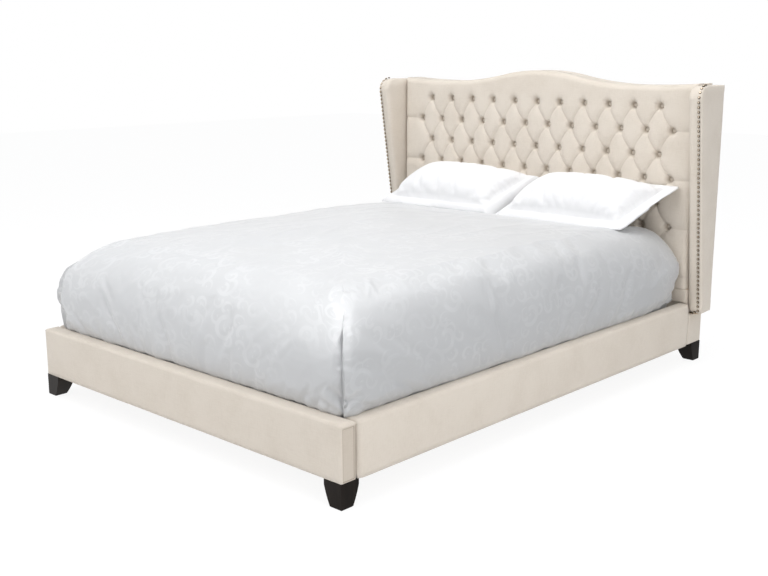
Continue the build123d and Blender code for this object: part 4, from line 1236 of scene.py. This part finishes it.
points[:, 2] -= np.where(down > 0, 0, quilt_depth * (1 - quilt**0.5))
tape = 0.004 * hill(above_hem - 0.03, 0.008)
on_side = np.abs(points[:, 0]) > 0.6
points[:, 0] += np.where(under_side, -0.008, tape) * np.sign(points[:, 0]) * on_side
set_points(mattress.data, points)
turn_faces_out(mattress)
print("mattress", len(mattress.data.polygons), "faces")

# %% [markdown]
# ### The coverlet
# The coverlet is one wide piece of satin over a thin filling, tucked in between mattress and frame.
# At the two foot corners the cloth of the side laps over that of the foot end in one upright fold.
# It opens at the shoulder in a small hook, and at the tuck short creases spread from it. The net is
# draped, folded by formula along its corner line, and then swollen as cloth that is a little too
# large, which breaks up the smooth form.

# %% Drape the coverlet
cover_low, cover_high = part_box("coverlet")
cover_form = Cap(
    half_width=0.800, foot=cover_low.y, head=cover_high.y, low=cover_low.z, level=0.394,
    tuck=0.024, tuck_top=0.262, shoulder=0.150, head_shoulder=0.040, shoulder_z=0.612,
    head_z=0.562, top=0.646, crown_y=-0.197, corner=0.040,
)
strips = 60
bm, hem = cap_net(180, 210, strips, 0.55)
coverlet = hand_over(bm, "satin_cloth", "coverlet", "coverlet_satin", ["coverlet"])
net = points_of(coverlet.data)
unit, down = net[:, :2], net[:, 2] / strips
points = cover_form.drape(unit, down)
fold_top, turn_height = 0.545, 0.03
turning = np.clip((points[:, 2] - fold_top) / turn_height + 0.3, 0, 1)
turning = np.where(unit[:, 1] > 0, 1, turning)
lay_out_cloth(coverlet, cover_form, unit, down, turning)
set_points(coverlet.data, points)

# %% Measure along the draped coverlet
normals = np.zeros(len(points) * 3)
coverlet.data.vertices.foreach_get("normal", normals)
normals = normals.reshape(-1, 3)
half_length = (cover_form.head - cover_form.foot) / 2
from_side = (1 - np.abs(unit[:, 0])) * cover_form.half_width
from_foot = (1 + unit[:, 1]) * half_length
past_corner = np.where(from_foot > from_side, from_foot, -from_side)
height = points[:, 2]
hanging = down > 0
by_foot = hanging & (from_foot < 0.4)
tuck_z = 0.265
from_fold_foot = np.hypot(past_corner, height - tuck_z)
print(int(hanging.sum()), "points hang down the sides")

# %% Fold the foot corners
hem_line = cover_form.path[1] / cover_form.drop
fold = np.clip((fold_top - height) / 0.035, 0, 1) * hanging
fold *= np.clip((1 - down) / hem_line / 1.5, 0, 1)

groove_depth, groove_width, hem_z = 0.020, 0.045, 0.252
opening = np.clip((fold_top - height) / 0.10, 0.15, 1)
scallops = 1 + 0.3 * cloudy(points * np.array([0, 0, 1]), 24, 15)
groove = -groove_depth * np.clip(1 + past_corner / (groove_width * opening * scallops), 0, 1) ** 0.8
groove *= np.clip((height - hem_z) / 0.06, 0.15, 1)
pucker_height = 0.0060
pucker = pucker_height * cloudy(points * np.array([1, 1, 3]), 28, 9)
pucker *= hill(past_corner + 0.020, 0.016)

# The side's cloth laps over the groove, with one short tug across it
lap_height, lap_fall = 0.0065, 0.07
tug_z, tug_slope, tug_depth = 0.44, 0.3, 0.004
tug_line = (height - tug_z + tug_slope * past_corner) / 0.007
tug = tug_depth * np.exp(-(tug_line**2) - past_corner / 0.04)
lap = lap_height * np.exp(-past_corner / lap_fall) - np.where(past_corner >= 0, tug, 0)
push = np.where(past_corner >= 0, lap, groove + pucker) * fold

# The fold opens in a hook at its top, and creases spread from its foot
hook_depth, fan_height = 0.005, 0.0080
hook = hill(height - fold_top - 0.004, 0.006) * np.clip(1 - past_corner / 0.045, 0, 1)
push -= np.where((past_corner > -0.004) & hanging, hook_depth * hook, 0)
fan = np.abs(np.sin(4.5 * np.arctan2(height - tuck_z, past_corner) + 0.5)) ** 0.7 - 0.6
fan = fan * np.exp(-from_fold_foot / 0.07) * np.clip(from_fold_foot / 0.02, 0, 1)
fan *= np.where(past_corner >= 0, np.clip(past_corner / 0.015, 0, 1), 1)
push += fan_height * fan * by_foot

# The lap's edge leans out over the groove
lap_lean = 0.004
points[:, 1] -= lap_lean * np.exp(-past_corner / 0.006) * (past_corner >= 0) * fold

# %% Gather the tuck and crease the rest
run = np.stack([points[:, 0], points[:, 1], height * 0.3], axis=1)
gather_z, gather_height, corner_gather = 0.285, 0.0055, 0.006
near_tuck = hill(height - gather_z, 0.045) * hanging
gather = gather_height + corner_gather * np.exp(-from_fold_foot / 0.10)
gather = gather * cloudy(run, 30, 6) * near_tuck
crease_height, broad_height, fine_height = 0.0022, 0.005, 0.0016
creases = crease_height * (1 - np.abs(cloudy(points * np.array([1, 0.55, 1.3]), 7, 12))) ** 5
broad = broad_height * cloudy(points, 3.2, 7) + fine_height * cloudy(points, 9.0, 8) + creases
on_wall = np.clip((1 - down) / 0.25, 0, 1)

# By the headboard the shoulder is fuller and the cloth below it is drawn in
full_z, full_height, draw_z, draw_depth = 0.575, 0.020, 0.45, 0.022
by_head = hill(points[:, 1] - cover_high.y, 0.28) * (np.abs(points[:, 0]) > 0.55)
full_shoulder = full_height * hill(height - full_z, 0.055) * by_head
drawn_in = draw_depth * np.clip((draw_z - height) / 0.12, 0, 1) * by_head**3 * hanging
push += full_shoulder - drawn_in
points = points + normals * (push + gather + broad * on_wall)[:, None]
set_points(coverlet.data, points)

# %% Swell the coverlet
calm = 0.9 * hill(past_corner, 0.07) * by_foot
calm *= np.clip((height - fold_top + 0.02) / 0.02, 0, 1)
swell(coverlet, 1.2, 0.010, growth=0.012, pinned=down > 0.86, frames=14, share=1 - calm)
thicken(coverlet, "filling", 0.006, -1)
print("coverlet", len(coverlet.data.polygons), "faces")

# %% [markdown]
# ### The pillows
# Each pillow is a case with a flat border outside its seam, leaning against the headboard. The case
# is two nets joined at the border's edge. Inside the seam they stand apart by the filling, and the
# border is a few millimetres thick, narrower along its middle and drawn out into ears at its
# corners. The filled part is then blown up as cloth while the border is held, which puckers the seam
# as sewing does. Where the pillow rests on the coverlet it is flat.

# %% Where a pillow lies
pillow_width, pillow_flange, pillow_ear = 0.690, 0.050, 0.014
pillow_front_z, pillow_rear_z = 0.618, 0.787
pillow_skew = math.radians(18)
pillow_rear_y, pillow_front_y = crown_y - 0.0015, crown_y - 0.332
pillow_run = pillow_rear_y - pillow_front_y
along_vector = Vector((pillow_run * math.tan(pillow_skew), pillow_run, pillow_rear_z - pillow_front_z))
pillow_length = along_vector.length
along_way = along_vector.normalized()
across_way = Vector((1, 0, 0))
up_way = across_way.cross(along_way).normalized()
top_swell, belly = 0.086, 0.105
border_cells, filled_cells = 8, (72, 44)
print("pillow", round(pillow_width, 3), "by", round(pillow_length, 3), "m")


# %% Pillows
def pillow(side, left_x, right_fall):
    """A filled case whose left border starts at left_x and whose right corners fall a little."""
    seam_a = 1 - 2 * pillow_flange / pillow_width
    seam_b = 1 - 2 * pillow_flange / pillow_length
    counts = [2 * border_cells + cells for cells in filled_cells]
    bm = flat_net(*counts)
    for vert in bm.verts:
        vert.co.z = 0 if vert.is_boundary else 1
    twin = bmesh.ops.duplicate(bm, geom=bm.verts[:] + bm.edges[:] + bm.faces[:])["geom"]
    bmesh.ops.scale(bm, verts=points_in(twin), vec=(1, 1, -1))
    bmesh.ops.remove_doubles(bm, verts=bm.verts[:], dist=1e-6)
    face_outwards(bm)
    name = f"pillow_{side}"
    piece = hand_over(bm, f"pillow_case_{side}", name, "pillow_cotton", [name])
    net = points_of(piece.data)
    a, b = [
        np.interp(
            (net[:, axis] + 1) / 2 * counts[axis],
            [0, border_cells, counts[axis] - border_cells, counts[axis]],
            [-1, -seam, seam, 1],
        )
        for axis, seam in ((0, seam_a), (1, seam_b))
    ]
    layer = net[:, 2]

    # How full the case is inside its seam, and how far out a point of its border lies
    in_a, in_b = np.clip(np.abs(a) / seam_a, 0, 1), np.clip(np.abs(b) / seam_b, 0, 1)
    full = ((1 - in_a**2.6) * (1 - in_b**2.6)) ** 0.5
    out_a = (np.abs(a) / seam_a - 1) / (1 / seam_a - 1)
    out_b = (np.abs(b) / seam_b - 1) / (1 / seam_b - 1)
    out = np.clip(np.maximum(out_a, out_b), 0, 1)

    # Each side is drawn in along its middle, and the ears are a little blunt
    u = pillow_width / 2 + a * (pillow_width / 2 - pillow_ear * (1 - b**6) * np.abs(a) ** 4)
    v = pillow_length / 2 + b * (pillow_length / 2 - pillow_ear * (1 - a**6) * np.abs(b) ** 4)
    ear_bluntness = 0.016
    blunt = ear_bluntness * (np.abs(a) * np.abs(b)) ** 9
    u, v = u - blunt * np.sign(a), v - blunt * np.sign(b)

    # The border waves and falls, and the case stands up from it
    border_half, broad_wave, fine_wave = 0.0016, 0.012, 0.002
    front_fall, rear_fall, left_fall = 0.013, 0.006, 0.012
    border = border_half * np.clip((1 - out) / 0.06, 0, 1) ** 0.5
    flat = np.stack([u, v, np.full_like(u, left_x)], axis=1)
    wave = broad_wave * cloudy(flat, 8, 11) * out + fine_wave * cloudy(flat, 30, 13) * out
    end_fall = np.where(b < 0, front_fall, rear_fall)
    wave -= (end_fall + np.where(a > 0, right_fall, left_fall)) * out**2
    rise = np.where(layer > 0, top_swell, -belly) * full * np.abs(layer)
    rise += np.sign(layer) * border + wave
    corner = np.array([left_x, pillow_front_y, pillow_front_z])
    points = (
        corner + u[:, None] * np.array(across_way) + v[:, None] * np.array(along_way)
        + rise[:, None] * np.array(up_way)
    )
    set_points(piece.data, points)
    swell(piece, 4.0, 0.016, growth=0.035, pinned=out > 0, frames=20, stiffness=12)

    # It rests on the coverlet and against the tufting
    above_satin, case_thickness = 0.007, 0.002
    points = points_of(piece.data)
    rest = cover_form.top_at(points[:, 0], points[:, 1]) + above_satin + case_thickness * (layer > 0)
    points[:, 2] = np.maximum(points[:, 2], rest)
    points[:, 1] = np.minimum(points[:, 1], crown_y - 0.001)
    set_points(piece.data, points)
    return piece


pillows = [pillow("right", -0.014, 0.004), pillow("left", -0.716, 0.045)]
print("pillow", len(pillows[0].data.polygons), "faces")
